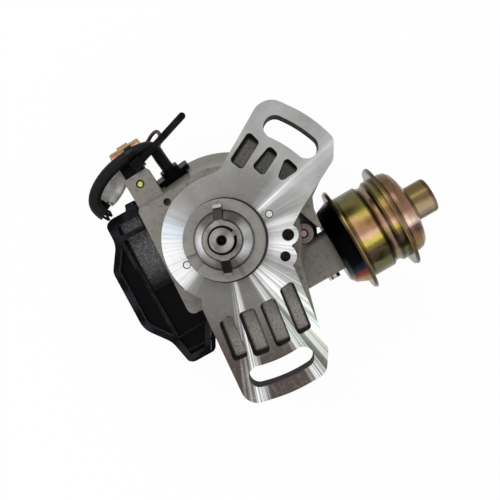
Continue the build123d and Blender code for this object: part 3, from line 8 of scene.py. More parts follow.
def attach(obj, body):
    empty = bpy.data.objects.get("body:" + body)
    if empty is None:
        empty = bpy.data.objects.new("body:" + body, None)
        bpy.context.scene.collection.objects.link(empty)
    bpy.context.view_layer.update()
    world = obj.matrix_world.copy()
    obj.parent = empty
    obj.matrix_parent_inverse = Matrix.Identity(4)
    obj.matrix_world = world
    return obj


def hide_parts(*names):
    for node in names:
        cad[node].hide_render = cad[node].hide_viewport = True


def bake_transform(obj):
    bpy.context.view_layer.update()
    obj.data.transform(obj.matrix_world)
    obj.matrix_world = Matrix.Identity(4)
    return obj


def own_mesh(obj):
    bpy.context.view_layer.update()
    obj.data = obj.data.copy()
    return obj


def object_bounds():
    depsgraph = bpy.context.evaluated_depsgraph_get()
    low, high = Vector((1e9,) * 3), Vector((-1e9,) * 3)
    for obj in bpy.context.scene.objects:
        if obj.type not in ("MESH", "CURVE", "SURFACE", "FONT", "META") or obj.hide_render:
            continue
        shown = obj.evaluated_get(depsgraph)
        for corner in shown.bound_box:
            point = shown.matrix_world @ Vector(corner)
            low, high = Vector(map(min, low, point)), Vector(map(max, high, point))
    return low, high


# Ignition distributor standing on the towers of its cap, drive end up.  Objects are in metres, in the packed
# model's frame: the shaft axis is Z and the machined mounting face lies in z = 0.  Places and sizes on the
# object are named in millimetres, and MM turns them into metres.

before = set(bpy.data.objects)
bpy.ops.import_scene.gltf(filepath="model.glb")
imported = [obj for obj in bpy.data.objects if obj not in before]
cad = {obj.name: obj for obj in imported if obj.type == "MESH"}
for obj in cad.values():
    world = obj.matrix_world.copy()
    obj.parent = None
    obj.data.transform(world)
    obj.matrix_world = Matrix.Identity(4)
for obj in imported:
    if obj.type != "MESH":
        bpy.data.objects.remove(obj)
cad_box = [list(corner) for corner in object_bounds()]
scene = bpy.context.scene
MM = 0.001
FLOOR_Z = cad_box[0][2]

# ---------------------------------------------------------------- places on the object, in millimetres
LARGE_HOLE = (28.7, 2.4)  # threaded hole in the turned face
LARGE_HOLE_R = 2.8
LARGE_HOLE_DEEP = 13.2
SMALL_HOLE = (27.5, -7.5)
VENT = (36.8, 3.0)
ROOF_HOLE = (-29.3, 18.3)
ROOF_HOLE_R = 1.9
SLOTS = [  # radius and direction about the shaft that each hold-down slot covers
    ((50.6, 62.8), (42.5, 73.0)), ((59.4, 70.4), (-81.2, -51.2)),
]
POCKETS = [  # centre, half length, half width and lean of each pocket in the ears
    (8.7, 41.0, 8.8, 4.2, 57), (18.4, 36.5, 7.2, 4.1, 53), (26.7, 30.2, 8.0, 5.0, 52.5),
    (3.4, -45.5, 11.5, 4.2, -68), (13.3, -42.6, 11.7, 4.5, -69), (23.0, -38.0, 12.0, 4.6, -68),
    (32.2, -31.4, 13.0, 4.2, -67.5),
]
POCKET_FLOOR_Z = -13
EAR_BACK_Z = -15.9
VACUUM_FOOT = (15.2, -26.33)  # point where the capsule's axis starts
VACUUM_Z = -39.0
VACUUM_LEAN = 30.0  # the capsule's axis, in degrees from +X
VACUUM_ALONG = (0.8660254, 0.5)
VACUUM_ACROSS = (0.5, -0.8660254)
ROLLED_RIM_R = (23.4, 24.2)  # where the rolled rims of the capsule's pressings begin
CONDENSER_ALONG = (0.848, 0.53)
CONDENSER_ACROSS = (-0.53, 0.848)
CRIMPED_END = (-14, -11)  # along the condenser
OUTER_SIDE = (67.3, 68.6)  # across the condenser
SADDLE = (58.2, 58.8)  # across the condenser, where the saddle of its bracket begins
TUB_ALONG = (0.894, 0.448)  # the cap's tub over the coil
TUB_ACROSS = (-0.448, 0.894)
TUB_FLOOR_Z = (-49, -44.2)
TUB_WALL_Z = (-47.2, -42.1)
CAP_LIP_Z = -42
CONNECTOR_CAVITIES = ((-60.6, 18.6), (-58.6, 18.2))


# ---------------------------------------------------------------- camera, first of all
def aim(thing, place, target):
    """Puts a camera or lamp at place, looking at target, with +Y up in its view."""
    back = (Vector(place) - Vector(target)).normalized()
    right = Vector((0, 1, 0)).cross(back).normalized()
    turn = Matrix((right, back.cross(right), back)).transposed()
    thing.matrix_world = Matrix.Translation(place) @ turn.to_4x4()
    scene.collection.objects.link(thing)
    return thing


CAMERA_PLACE = (0.0195, 0.0019, 0.400)
CAMERA_TARGET = (0.0112, -0.0046, 0.0)
lens = bpy.data.cameras.new("camera")
lens.lens = 62.6
lens.sensor_width = 36.0
lens.clip_start = 0.01
scene.camera = aim(bpy.data.objects.new("camera", lens), CAMERA_PLACE, CAMERA_TARGET)


# ---------------------------------------------------------------- free leads
def lead(name, route, diameter):
    """Round lead on a smooth spline; route is its control points in millimetres."""
    line = bpy.data.curves.new(name, "CURVE")
    line.dimensions = "3D"
    line.resolution_u = 16
    line.bevel_depth = diameter / 2
    line.bevel_resolution = 8
    line.use_fill_caps = True
    spline = line.splines.new("NURBS")
    spline.points.add(len(route) - 1)
    for point, place in zip(spline.points, route):
        point.co = (*[coordinate * MM for coordinate in place], 1.0)
    spline.order_u = 3
    spline.use_endpoint_u = True
    spline.resolution_u = 16
    piece = bpy.data.objects.new(name, line)
    scene.collection.objects.link(piece)
    return piece


SLEEVE_ROUTE = [
    (-30.69, 35.8, -36.28), (-34.1, 40.4, -34.44), (-37.4, 46.2, -29.4), (-44.4, 44.2, -26.5),
    (-53.0, 38.6, -26.3), (-61.0, 31.4, -27.3), (-66.3, 22.4, -28.2), (-66.0, 15.2, -28.8),
    (-61.4, 12.3, -29.6),
]
SLEEVE_WIDE = 0.0062
PIGTAIL_ROUTE = [
    (-44.58, 47.61, -42.5), (-42.04, 49.2, -42.5), (-39.4, 53.2, -39.5), (-36.0, 55.0, -37.0),
    (-34.2, 51.0, -36.6), (-36.4, 44.6, -38.0), (-34.35, 40.72, -39.04), (-31.51, 36.9, -40.57),
]
PIGTAIL_WIDE = 0.0019

sleeve = lead("sleeve", SLEEVE_ROUTE, SLEEVE_WIDE)
pigtail = lead("condenser_pigtail", PIGTAIL_ROUTE, PIGTAIL_WIDE)


# ---------------------------------------------------------------- shader nodes as expressions
def linear(level):
    """Linear value of a screen level from 0 to 255."""
    share = level / 255
    return share / 12.92 if share <= 0.04045 else ((share + 0.055) / 1.055) ** 2.4


def tone(red, green, blue):
    """Colour from its screen levels."""
    return (linear(red), linear(green), linear(blue), 1.0)


class Value:
    """The output of a node, for use in arithmetic."""

    def __init__(self, shades, socket):
        self.shades = shades
        self.socket = socket

    def maths(self, operation, *operands):
        return self.shades.node("ShaderNodeMath", {"operation": operation}, dict(enumerate(operands)))

    def beside(self, output):
        """Another output of the same node."""
        return Value(self.shades, self.socket.node.outputs[output])

    def __add__(self, other):
        return self.maths("ADD", self, other)

    def __radd__(self, other):
        return self.maths("ADD", other, self)

    def __sub__(self, other):
        return self.maths("SUBTRACT", self, other)

    def __rsub__(self, other):
        return self.maths("SUBTRACT", other, self)

    def __mul__(self, other):
        return self.maths("MULTIPLY", self, other)

    def __rmul__(self, other):
        return self.maths("MULTIPLY", other, self)

    def __truediv__(self, other):
        return self.maths("DIVIDE", self, other)

    def __gt__(self, other):
        return self.maths("GREATER_THAN", self, other)

    def __lt__(self, other):
        return self.maths("LESS_THAN", self, other)

    def near(self, other, reach):
        """1 where the value is within reach of the other."""
        return self.maths("COMPARE", self, other, reach)

    def abs(self):
        return self.maths("ABSOLUTE", self)

    def sine(self):
        return self.maths("SINE", self)

    def root(self):
        return self.maths("SQRT", self)

    def top(self, other):
        """The larger of the two."""
        return self.maths("MAXIMUM", self, other)


class Shades:
    """The shader nodes of a material or of the world."""

    def __init__(self, owner):
        owner.use_nodes = True
        self.tree = owner.node_tree

    def node(self, kind, settings=None, values=None, output=0):
        """Adds a node: its settings first, then the values or links of its sockets."""
        new = self.tree.nodes.new(kind)
        for name, value in (settings or {}).items():
            if name == "stops":
                ramp = new.color_ramp
                for _ in range(len(value) - 2):
                    ramp.elements.new(0.5)
                for element, (position, colour) in zip(ramp.elements, value):
                    element.position = position
                    element.color = colour
            elif name == "blend":
                new.color_ramp.interpolation = value
            else:
                setattr(new, name, value)
        for key, value in (values or {}).items():
            if isinstance(value, Value):
                self.tree.links.new(value.socket, new.inputs[key])
            else:
                new.inputs[key].default_value = value
        return Value(self, new.outputs[output])


class Finish(Shades):
    """A material with one principled shader.  x, y and z are in millimetres, and up is 1 where a face looks
    up."""

    def __init__(self, name, **fixed):
        self.material = bpy.data.materials.new(name)
        super().__init__(self.material)
        self.shader = self.tree.nodes["Principled BSDF"]
        for socket, value in fixed.items():
            self.shader.inputs[socket.replace("_", " ")].default_value = value
        self.place = self.node("ShaderNodeTexCoord", output="Object")
        metres = self.node("ShaderNodeSeparateXYZ", values={0: self.place})
        self.x, self.y, self.z = (metres.beside(axis) * (1 / MM) for axis in "XYZ")
        facing = self.node("ShaderNodeSeparateXYZ", values={0: self.place.beside("Normal")})
        self.up = facing.beside("Z")

    def feed(self, **sockets):
        for socket, value in sockets.items():
            self.tree.links.new(value.socket, self.shader.inputs[socket.replace("_", " ")])
        return self.material

    def mix(self, share, first, second):
        return self.node("ShaderNodeMix", {"data_type": "RGBA"}, {0: share, 6: first, 7: second}, 2)

    def noise(self, scale, detail=3.0, rough=0.55, at=None):
        """Noise from 0 to 1; scale is in cycles per metre."""
        return self.node(
            "ShaderNodeTexNoise", None,
            {"Vector": at or self.place, "Scale": scale, "Detail": detail, "Roughness": rough},
        )

    def between(self, value, low, high):
        """0 below low, 1 above high, smooth in between."""
        return self.node(
            "ShaderNodeMapRange", {"interpolation_type": "SMOOTHSTEP"}, {0: value, 1: low, 2: high}
        )

    def within(self, value, low, high, soft):
        """1 from low to high, falling to 0 over soft on each side."""
        return self.between(value, low - soft, low) * (1 - self.between(value, high, high + soft))

    def ramp(self, value, stops, blend="LINEAR"):
        return self.node("ShaderNodeValToRGB", {"stops": stops, "blend": blend}, {0: value})

    def level(self, value, stops):
        """A number that follows value through (position, level) pairs."""
        return self.ramp(value, [(at, (n, n, n, 1)) for at, n in stops])

    def along(self, direction, start=(0.0, 0.0)):
        """Distance in millimetres from start along a level direction."""
        return (self.x - start[0]) * direction[0] + (self.y - start[1]) * direction[1]

    def radius(self, centre=(0.0, 0.0)):
        """Distance in millimetres from an upright axis."""
        dx, dy = self.x - centre[0], self.y - centre[1]
        return (dx * dx + dy * dy).root()

    def direction(self):
        """Direction from the shaft axis, in degrees from +X."""
        return self.y.maths("ARCTAN2", self.y, self.x) * (180 / math.pi)

    def spokes(self, radius, turns):
        """Noise that changes with the direction from the shaft axis only: streaks from the centre."""
        out = self.node("ShaderNodeCombineXYZ", None, {0: self.x / radius, 1: self.y / radius})
        return self.noise(turns, 4.0, 0.7, out)

    def scratches(self, along, across, lean):
        """Fine lines that run along one direction."""
        laid = self.node(
            "ShaderNodeMapping", None,
            {0: self.place, 2: (0, 0, math.radians(lean)), 3: (along, across, across)},
        )
        return self.noise(1.0, 2.0, 0.5, laid)

    def relief(self, height, depth, strength=1.0):
        """Bump of that depth in metres, into the shader's normal."""
        sockets = {"Strength": strength, "Distance": depth, "Height": height}
        self.feed(Normal=self.node("ShaderNodeBump", None, sockets))


# ---------------------------------------------------------------- finishes
FAN = [  # painted highlights: brightness of the turned face's fans by direction, in degrees from +X
    (-180, 0.90), (-165, 1.0), (-150, 0.86), (-135, 0.74), (-126, 0.30), (-116, 0.06), (-84, 0.05),
    (-79, 0.60), (-76, 0.80), (-73, 0.20), (-66, 0.04), (-59, 0.10), (-55, 0.66), (-50, 0.42), (-45, 0.86),
    (-39, 0.70), (-28, 0.30), (-14, 0.52), (-4, 0.80), (8, 0.44), (18, 0.68), (26, 0.34), (38, 0.38),
    (42, 0.90), (46, 0.36), (56, 0.22), (90, 0.20), (130, 0.24), (156, 0.44), (170, 0.80), (180, 0.90),
]
# colours of the painted highlights' rainbow tint
RAINBOW = [
    (0.30, tone(250, 208, 186)), (0.42, tone(244, 238, 186)), (0.52, tone(196, 238, 222)),
    (0.62, tone(202, 208, 250)), (0.72, tone(246, 210, 236)),
]
ROUGH_CAST = [
    (0.30, tone(120, 110, 98)), (0.42, tone(216, 210, 198)), (0.60, tone(240, 236, 226)),
    (0.75, tone(255, 255, 250)),
]


def by_direction(f, fans):
    """Brightness of painted highlights that follows the direction from the shaft axis through (degrees,
    level) pairs.
    """
    return f.level((f.direction() + 180) / 360, [((angle + 180) / 360, level) for angle, level in fans])


def cast_skin(f, cloud, fine):
    """Bare casting with oily stains, and painted shade that darkens it towards the cap."""
    skin = f.mix(cloud, tone(106, 101, 95), tone(142, 138, 131))
    skin = f.mix(f.between(f.noise(230, 4.0), 0.54, 0.72) * 0.35, skin, tone(88, 76, 64))
    skin = f.mix(f.between(fine, 0.52, 0.78) * 0.65, skin, tone(62, 55, 49))
    # painted shade, deeper towards the cap
    return f.mix(f.between(f.z * -1, 17, 34) * 0.4, skin, tone(72, 64, 58))


def nicks(f):
    """Sparse scratches in two directions."""
    first = f.between(f.scratches(60, 3200, 38), 0.66, 0.74) * f.between(f.noise(90), 0.48, 0.62)
    second = f.between(f.scratches(50, 2600, -24), 0.70, 0.76) * f.between(f.noise(120), 0.5, 0.62)
    return first.top(second)


def turned_face(f, fan, thread, scratch, cloud, fine):
    """Colour of the turned face, with painted highlights: bright fans of fine strands, tinted like a rainbow
    over the lower ear.
    """
    radius, angle = f.radius(), f.direction()
    strand = f.between(f.spokes(radius, 26) * 0.55 + f.spokes(radius, 75) * 0.45, 0.42, 0.60)
    # the strands stand out most over the lower ear, and least over the upper one
    crisp = f.within(angle, -100, -56, 8) + f.within(angle, -50, -30, 8) * 0.5
    calm = f.within(angle, 64, 142, 18)
    upper = f.within(angle, 22, 150, 10) * f.between(radius, 26, 46)
    # painted highlights: the brightness of the fans and their strands
    lit = fan * (0.62 - crisp * 0.34 + strand * (0.30 + crisp * 0.75) * (1 - calm * 0.75))
    lit = lit * (1 - upper * 0.75) + upper * 0.22
    lit = lit + (thread - 0.5) * (0.06 + fan * (0.16 + crisp * 0.5)) * (1 - upper.top(calm) * 0.75)
    lit = lit + (cloud - 0.5) * 0.22
    # between the painted highlights the face is darker and browner towards the lower ear
    plain = f.mix(f.between(f.y, -60, -22), tone(76, 67, 63), tone(114, 113, 110))
    plain = f.mix(f.between(fine, 0.5, 0.75) * 0.3, plain, tone(136, 134, 130))
    # painted highlights tinted like a rainbow over the lower ear, and bluish on the left
    highlight_tint = f.within(angle, -52, -36, 6) + f.within(angle, 2, 30, 6) * 0.5
    highlight_tint = highlight_tint * f.between(radius, 26, 50) * 0.5
    highlight_colour = f.mix(highlight_tint, tone(250, 251, 252), f.ramp(f.spokes(radius, 44), RAINBOW))
    highlight_colour = f.mix(f.within(angle, 158, 176, 8) * 0.5, highlight_colour, tone(206, 222, 240))
    bright = f.mix(f.between(lit, 0.04, 0.80), plain, highlight_colour)
    return f.mix(scratch * 0.55, bright, tone(226, 224, 220))


def hollows(f):
    """Masks of the ears' slots and pockets: all of them, and what lies clear of the painted shade along the
    pockets' edges.
    """
    radius, angle = f.radius(), f.direction()
    (upper_ring, upper_sweep), (lower_ring, lower_sweep) = SLOTS
    hollow = f.within(radius, *upper_ring, 0.2) * f.within(angle, *upper_sweep, 0.3)
    hollow = hollow.top(f.within(radius, *lower_ring, 0.2) * f.within(angle, *lower_sweep, 0.3))
    clear_of_edge_shade = hollow
    for x, y, half_long, half_wide, lean in POCKETS:
        cosine, sine = math.cos(math.radians(lean)), math.sin(math.radians(lean))
        along = f.along((cosine, sine), (x, y)).abs()
        across = f.along((-sine, cosine), (x, y)).abs()
        hollow = hollow.top((along < half_long) * (across < half_wide))
        clear_of_edge_shade = clear_of_edge_shade.top(f.between(half_long - along, 1.2, 3.2) * f.between(half_wide - across, 0.9, 2.4))
    return hollow * (f.z < -0.3) * (f.z > EAR_BACK_Z), clear_of_edge_shade


def cast_housing():
    """Die-cast skin, with a face turned to a bright lay of painted highlights, and rough pockets darkened
    with painted shade.
    """
    f = Finish("cast_skin", Metallic=0.0)
    radius = f.radius()
    grain = f.noise(1500, 4.0)
    cloud = f.noise(60, 3.0)
    fine = f.noise(420, 4.0)
    facing = f.up > 0.9
    wall = f.up.abs() < 0.5
    face = f.z.near(0, 0.3) * facing
    # painted highlights of the turned face
    fan = by_direction(f, FAN)
    thread = f.spokes(radius, 120)
    rings = (radius * 16).sine()
    scratch = nicks(f)
    # slots and pockets: walls darkened with painted shade, over a floor of rough casting
    hollow, clear_of_edge_shade = hollows(f)
    wall_shade = f.mix(fine, tone(9, 6, 5), tone(34, 26, 22))
    floor = f.z.near(POCKET_FLOOR_Z, 0.6) * facing
    pits = f.noise(1000, 4.0, 0.65)
    colour = f.mix(hollow * wall, cast_skin(f, cloud, fine), wall_shade)
    # pocket floors: rough casting, with painted shade along their edges
    colour = f.mix(floor, colour, f.mix(clear_of_edge_shade, tone(52, 43, 36), f.ramp(pits, ROUGH_CAST)))
    colour = f.mix(face, colour, turned_face(f, fan, thread, scratch, cloud, fine))
    # spigot: matte end face; its upright walls darkened with painted shade
    spigot = f.between(f.z, 0.3, 0.6)
    dull = f.mix(cloud, tone(114, 111, 107), tone(146, 143, 138))
    dull = f.mix(f.between(fine, 0.5, 0.75) * 0.4, dull, tone(88, 81, 75))
    colour = f.mix(spigot, colour, dull)
    colour = f.mix(spigot * wall * 0.9, colour, tone(52, 45, 41))
    # holes darkened with painted shade: the threaded one in brown bands of painted light and shade along its
    # thread, the plain one and the roof hole
    threads = f.mix((f.z * 7).sine() > 0, tone(40, 28, 20), tone(128, 96, 70))
    below = (1 - facing) * (f.z < -0.2)
    colour = f.mix((f.radius(LARGE_HOLE) < 3.2) * below, colour, threads)
    colour = f.mix((f.radius(SMALL_HOLE) < 2.8) * below, colour, tone(22, 19, 18))
    colour = f.mix((f.radius(ROOF_HOLE) < ROOF_HOLE_R) * 0.8, colour, tone(26, 22, 20))
    # painted shade in a ring round the vent plug and along the edge of its pad
    vent = f.radius(VENT)
    outline = f.within(vent, 1.5, 2.3, 0.1).top(f.within(vent, 4.9, 5.4, 0.15)) * (f.z < -20)
    colour = f.mix(outline, colour, tone(34, 29, 27))
    cast = (1 - face) * (1 - spigot * 0.6) * (grain * 0.8 + fine * 0.8)
    lay = face * (rings * 0.05 + thread * 0.07 + scratch * 0.1)
    f.relief(cast + floor * pits * 0.8 + lay, 0.00025, 0.8)
    return f.feed(
        Base_Color=colour,
        Metallic=(0.35 + face * 0.45) * (1 - floor) * (1 - hollow * wall * 0.8),
        Roughness=0.5 - face * (0.16 + fan * 0.06) + hollow * 0.25 + (fine - 0.5) * 0.12,
    )


def turned(name, dull, bright, fans, turns=18, hole=0.0, seams=()):
    """Turned steel: fine rings, painted highlights in bright fans from the centre, and painted shade on the
    upright walls.
    turns sets how close the rings are, hole is the radius of a centre hole painted dark with shade around a
    lighter bottom, and seams are the radii of dark lines."""
    f = Finish(name, Metallic=1.0)
    radius = f.radius()
    streak = f.spokes(radius, 30)
    rings = (radius * turns).sine()
    # painted highlights: bright fans from the centre
    lit = by_direction(f, fans) * (0.35 + streak * 1.3) + rings * 0.05
    colour = f.mix(f.between(lit, 0.0, 1.0), dull, bright)
    spots = f.noise(700, 3.0)
    colour = f.mix(f.between(spots, 0.6, 0.8) * 0.3, colour, tone(80, 72, 66))
    # painted shade on the upright walls
    colour = f.mix(f.up.abs() < 0.3, colour, tone(50, 44, 40))
    # painted shade in the centre hole, with a lighter bottom
    if hole:
        colour = f.mix(1 - f.between(radius, hole - 0.5, hole), colour, tone(34, 28, 25))
        colour = f.mix(1 - f.between(radius, hole * 0.3, hole * 0.55), colour, tone(84, 74, 66))
    for seam in seams:
        colour = f.mix(f.within(radius, seam, seam + 0.3, 0.15) * 0.85, colour, tone(34, 28, 25))
    f.relief(rings * 0.2 + spots * 0.3, 0.00005, 0.6)
    return f.feed(Base_Color=colour, Roughness=0.30 + streak * 0.14)


def metal(name, dark, light, rough=0.38, grain=900, depth=0.00005, metallic=1.0, side_shade=None):
    """Plain metal with a mottled skin and rubbed spots, and painted shade on faces that stand upright if a
    colour is given for it.
    """
    f = Finish(name, Metallic=metallic)
    cloud = f.noise(140, 4.0)
    spots = f.noise(grain, 3.0)
    colour = f.mix(f.between(cloud, 0.3, 0.7), dark, light)
    colour = f.mix(f.between(spots, 0.62, 0.8) * 0.35, colour, dark)
    # painted shade on the upright faces
    if side_shade:
        colour = f.mix(f.up.abs() < 0.6, colour, side_shade)
    f.relief(spots, depth, 0.6)
    return f.feed(Base_Color=colour, Roughness=rough + (cloud - 0.5) * 0.2 + (spots - 0.5) * 0.1)


def moulded(name, dark, light, rough=0.4, ripple=260, depth=0.0001, grain=1600, polish=0.0, **fixed):
    """Moulded plastic or rubber: soft ripple, fine grain, handling marks and patches of a higher polish."""
    f = Finish(name, **fixed)
    soft = f.noise(ripple, 3.0)
    fine = f.noise(grain, 2.0)
    marks = f.between(f.scratches(160, 2600, 25), 0.66, 0.76) * f.between(f.noise(70), 0.5, 0.65)
    colour = f.mix(soft, dark, light)
    colour = f.mix(marks * 0.3, colour, tone(70, 68, 66))
    f.relief(soft * 0.8 + fine * 0.25, depth, 0.7)
    if polish:
        f.feed(Coat_Weight=f.between(f.noise(90), 0.45, 0.62) * polish)
    return f.feed(Base_Color=colour, Roughness=rough + (soft - 0.5) * 0.16 + marks * 0.15)


def cap_plastic():
    """Black moulded plastic, glossy outside and crinkled on the floor of the tub over the coil, with a
    painted grey sheen there, painted highlights on the tub's inner walls and a painted bluish sheen on the
    lip.
    """
    f = Finish("cap_black", Specular_IOR_Level=0.05, Coat_Roughness=0.12)
    soft = f.noise(240, 3.0)
    fine = f.noise(1500, 2.0)
    cloud = f.noise(70, 2.0)
    crinkle = f.noise(1100, 3.0, 0.6)
    tub = f.within(f.z, *TUB_FLOOR_Z, 0.6) * (f.up > 0.7)
    sheen = tub * f.between(f.along(TUB_ACROSS), -8, 10) * f.between(f.along(TUB_ALONG), -48, -46)
    inner = f.within(f.z, *TUB_WALL_Z, 0.1) * (f.up.abs() < 0.5)
    marks = f.between(f.scratches(160, 2600, 25), 0.64, 0.74) * f.between(f.noise(70), 0.5, 0.62)
    colour = f.mix(soft, tone(3, 3, 4), tone(9, 9, 11))
    # painted sheen on the tub's crinkled floor
    colour = f.mix(sheen * (0.4 + f.between(crinkle, 0.42, 0.7) * 0.45), colour, tone(126, 124, 126))
    # painted highlights on the tub's inner walls
    colour = f.mix(inner * 0.7, colour, tone(128, 128, 136))
    # painted bluish sheen on the lip
    lip = f.z.near(CAP_LIP_Z, 0.1) * f.between(cloud, 0.42, 0.62)
    colour = f.mix(lip * 0.35, colour, tone(58, 62, 70))
    colour = f.mix(marks * 0.35, colour, tone(60, 60, 62))
    f.relief(soft * 0.6 + fine * 0.2 + tub * crinkle * 0.8, 0.00016, 0.8)
    return f.feed(
        Base_Color=colour,
        Roughness=0.24 + (soft - 0.5) * 0.16 + marks * 0.15,
        Coat_Weight=sheen * f.between(crinkle, 0.5, 0.62) * 0.5 + inner * 0.4,
    )


def connector_plastic():
    """Pale grey nylon in soft lighter and darker clouds, with painted shade for two small cavities at its
    mouth.
    """
    f = Finish("connector_grey")
    cloud = f.noise(160, 3.0)
    fine = f.noise(1400, 2.0)
    colour = f.mix(f.between(cloud, 0.35, 0.65), tone(150, 146, 142), tone(206, 203, 199))
    colour = f.mix(f.between(fine, 0.6, 0.8) * 0.25, colour, tone(112, 106, 100))
    # painted shade for the two cavities
    for cavity in CONNECTOR_CAVITIES:
        colour = f.mix((f.radius(cavity) < 0.55) * (f.up > 0.2), colour, tone(26, 24, 24))
    f.relief(cloud * 0.6 + fine * 0.3, 0.00008, 0.6)
    return f.feed(Base_Color=colour, Roughness=0.42 + (cloud - 0.5) * 0.2)


def condenser_copper():
    """Copper-washed can with a straw tint at its crimped end and along its outer side."""
    f = Finish("condenser_copper", Metallic=0.6)
    cloud = f.noise(150, 4.0)
    fine = f.noise(900, 3.0)
    colour = f.mix(f.between(cloud, 0.3, 0.7), tone(132, 84, 66), tone(186, 132, 110))
    straw = f.between(f.along(CONDENSER_ALONG), *CRIMPED_END)
    straw = straw.top(f.between(f.along(CONDENSER_ACROSS) + cloud, *OUTER_SIDE))
    colour = f.mix(straw * 0.85, colour, tone(150, 146, 66))
    colour = f.mix(f.between(fine, 0.6, 0.8) * 0.3, colour, tone(92, 58, 44))
    f.relief(fine, 0.00006, 0.6)
    return f.feed(Base_Color=colour, Roughness=0.34 + (cloud - 0.5) * 0.2)


def bracket_finish():
    """Black bracket whose saddle has taken the copper wash of the can."""
    f = Finish("bracket_black", Specular_IOR_Level=0.05)
    fine = f.noise(900, 3.0)
    saddle = f.between(f.along(CONDENSER_ACROSS), *SADDLE)
    colour = f.mix(fine, tone(6, 6, 6), tone(18, 17, 16))
    colour = f.mix(saddle, colour, f.mix(fine, tone(132, 92, 62), tone(176, 140, 92)))
    f.relief(fine, 0.00006, 0.6)
    return f.feed(Base_Color=colour, Metallic=saddle * 0.6, Roughness=0.4 + (fine - 0.5) * 0.15)


HAZE = [
    (0.30, tone(150, 150, 84)), (0.45, tone(178, 152, 92)), (0.58, tone(196, 150, 132)),
    (0.72, tone(150, 120, 140)),
]


def chromate(name, reach, bands, lip, stations=(), haze=0.1):
    """Iridescent plating of the capsule, with painted highlights and painted dark reflections: bands of
    colour run along it, broken up by soft clouds. reach is the radius that the bands span, lip colours the
    rolled rim, and each of stations is a ring from low to high along the axis, with its colour and share,
    most of them painted dark reflections."""
    f = Finish(name, Metallic=1.0)
    across = f.along(VACUUM_ACROSS, VACUUM_FOOT)
    station = f.along(VACUUM_ALONG, VACUUM_FOOT)
    cloud = f.noise(70, 4.0, 0.6)
    patch = f.noise(190, 3.0, 0.6)
    fine = f.noise(1100, 3.0)
    place = across / reach * 0.5 + 0.5 + (cloud - 0.5) * 0.16 + (patch - 0.5) * 0.07
    # bands of plating colour, painted highlights and painted dark reflections
    colour = f.ramp(place, bands, "EASE")
    colour = f.mix(f.between(patch, 0.35, 0.6) * haze + haze * 0.5, colour, f.ramp(patch, HAZE))
    for low, high, shade, share in stations:
        colour = f.mix(f.within(station, low, high, 0.4) * share, colour, shade)
    colour = f.mix(f.between(fine, 0.58, 0.78) * 0.25, colour, tone(66, 58, 36))
    rise = f.z - VACUUM_Z
    from_axis = (across * across + rise * rise).root()
    colour = f.mix(f.between(from_axis, *ROLLED_RIM_R) * 0.8, colour, lip)
    f.relief(patch * 0.5 + fine * 0.3, 0.0001, 0.5)
    return f.feed(Base_Color=colour, Roughness=0.27 + (cloud - 0.5) * 0.2 + (fine - 0.5) * 0.08)


# across the can: olive, gold and green plating, with a painted pinkish highlight past the middle and a
# painted dark reflection after it
CAN_BANDS = [
    (0.00, tone(70, 66, 40)), (0.10, tone(88, 88, 48)), (0.24, tone(104, 96, 44)),
    (0.36, tone(112, 88, 50)), (0.46, tone(160, 120, 94)), (0.53, tone(200, 164, 138)),
    (0.59, tone(168, 152, 70)), (0.65, tone(84, 80, 32)), (0.71, tone(18, 18, 9)),
    (0.82, tone(14, 15, 10)), (0.88, tone(80, 88, 48)), (1.00, tone(62, 60, 36)),
]
# rings along the can: painted dark reflections, and one painted pinkish highlight
CAN_RINGS = [
    (54.3, 55.3, tone(30, 22, 12), 0.7), (65.4, 67.6, tone(34, 24, 14), 0.75),
    (68.6, 70.0, tone(176, 136, 122), 0.4), (70.8, 72.2, tone(28, 20, 12), 0.7),
]
# across the dome: brown and olive plating, with a painted pink highlight and a painted dark reflection after
# it
DOME_BANDS = [
    (0.00, tone(74, 56, 36)), (0.16, tone(92, 66, 46)), (0.34, tone(98, 72, 52)),
    (0.48, tone(122, 92, 74)), (0.57, tone(182, 150, 134)), (0.64, tone(204, 182, 170)),
    (0.71, tone(64, 42, 40)), (0.76, tone(34, 24, 26)), (0.82, tone(104, 76, 52)),
    (0.90, tone(116, 100, 48)), (1.00, tone(60, 48, 34)),
]
# rings along the dome: painted dark reflections, and the nose's olive plating from 87.6 to 96.5
DOME_RINGS = [
    (77.0, 78.4, tone(26, 18, 12), 0.75), (86.6, 87.9, tone(40, 28, 20), 0.6),
    (87.6, 96.5, tone(92, 86, 42), 0.65), (96.9, 98.4, tone(34, 30, 14), 0.7),
]
# back shell: painted shade and dark reflection over most of it, with red, yellow and blue plating colours at
# its lower edge
SHELL_BANDS = [
    (0.00, tone(10, 9, 7)), (0.20, tone(6, 6, 5)), (0.50, tone(5, 6, 7)), (0.72, tone(8, 10, 14)),
    (0.82, tone(28, 36, 46)), (0.87, tone(112, 44, 38)), (0.92, tone(140, 108, 48)),
    (0.96, tone(120, 56, 46)), (1.00, tone(80, 60, 34)),
]
# painted highlights: brightness of the turned collar by direction, in degrees from +X
COLLAR_FAN = [
    (-180, 1.0), (-160, 0.8), (-140, 0.35), (-100, 0.15), (-60, 0.3), (-30, 0.7), (0, 1.0), (30, 0.75),
    (60, 0.2), (110, 0.05), (140, 0.2), (160, 0.75), (180, 1.0),
]
# painted highlights: brightness of the shaft's end by direction, in degrees from +X
SHAFT_FAN = [(-180, 0.6), (-120, 0.3), (-60, 0.6), (0, 0.8), (60, 0.3), (120, 0.6), (180, 0.6)]

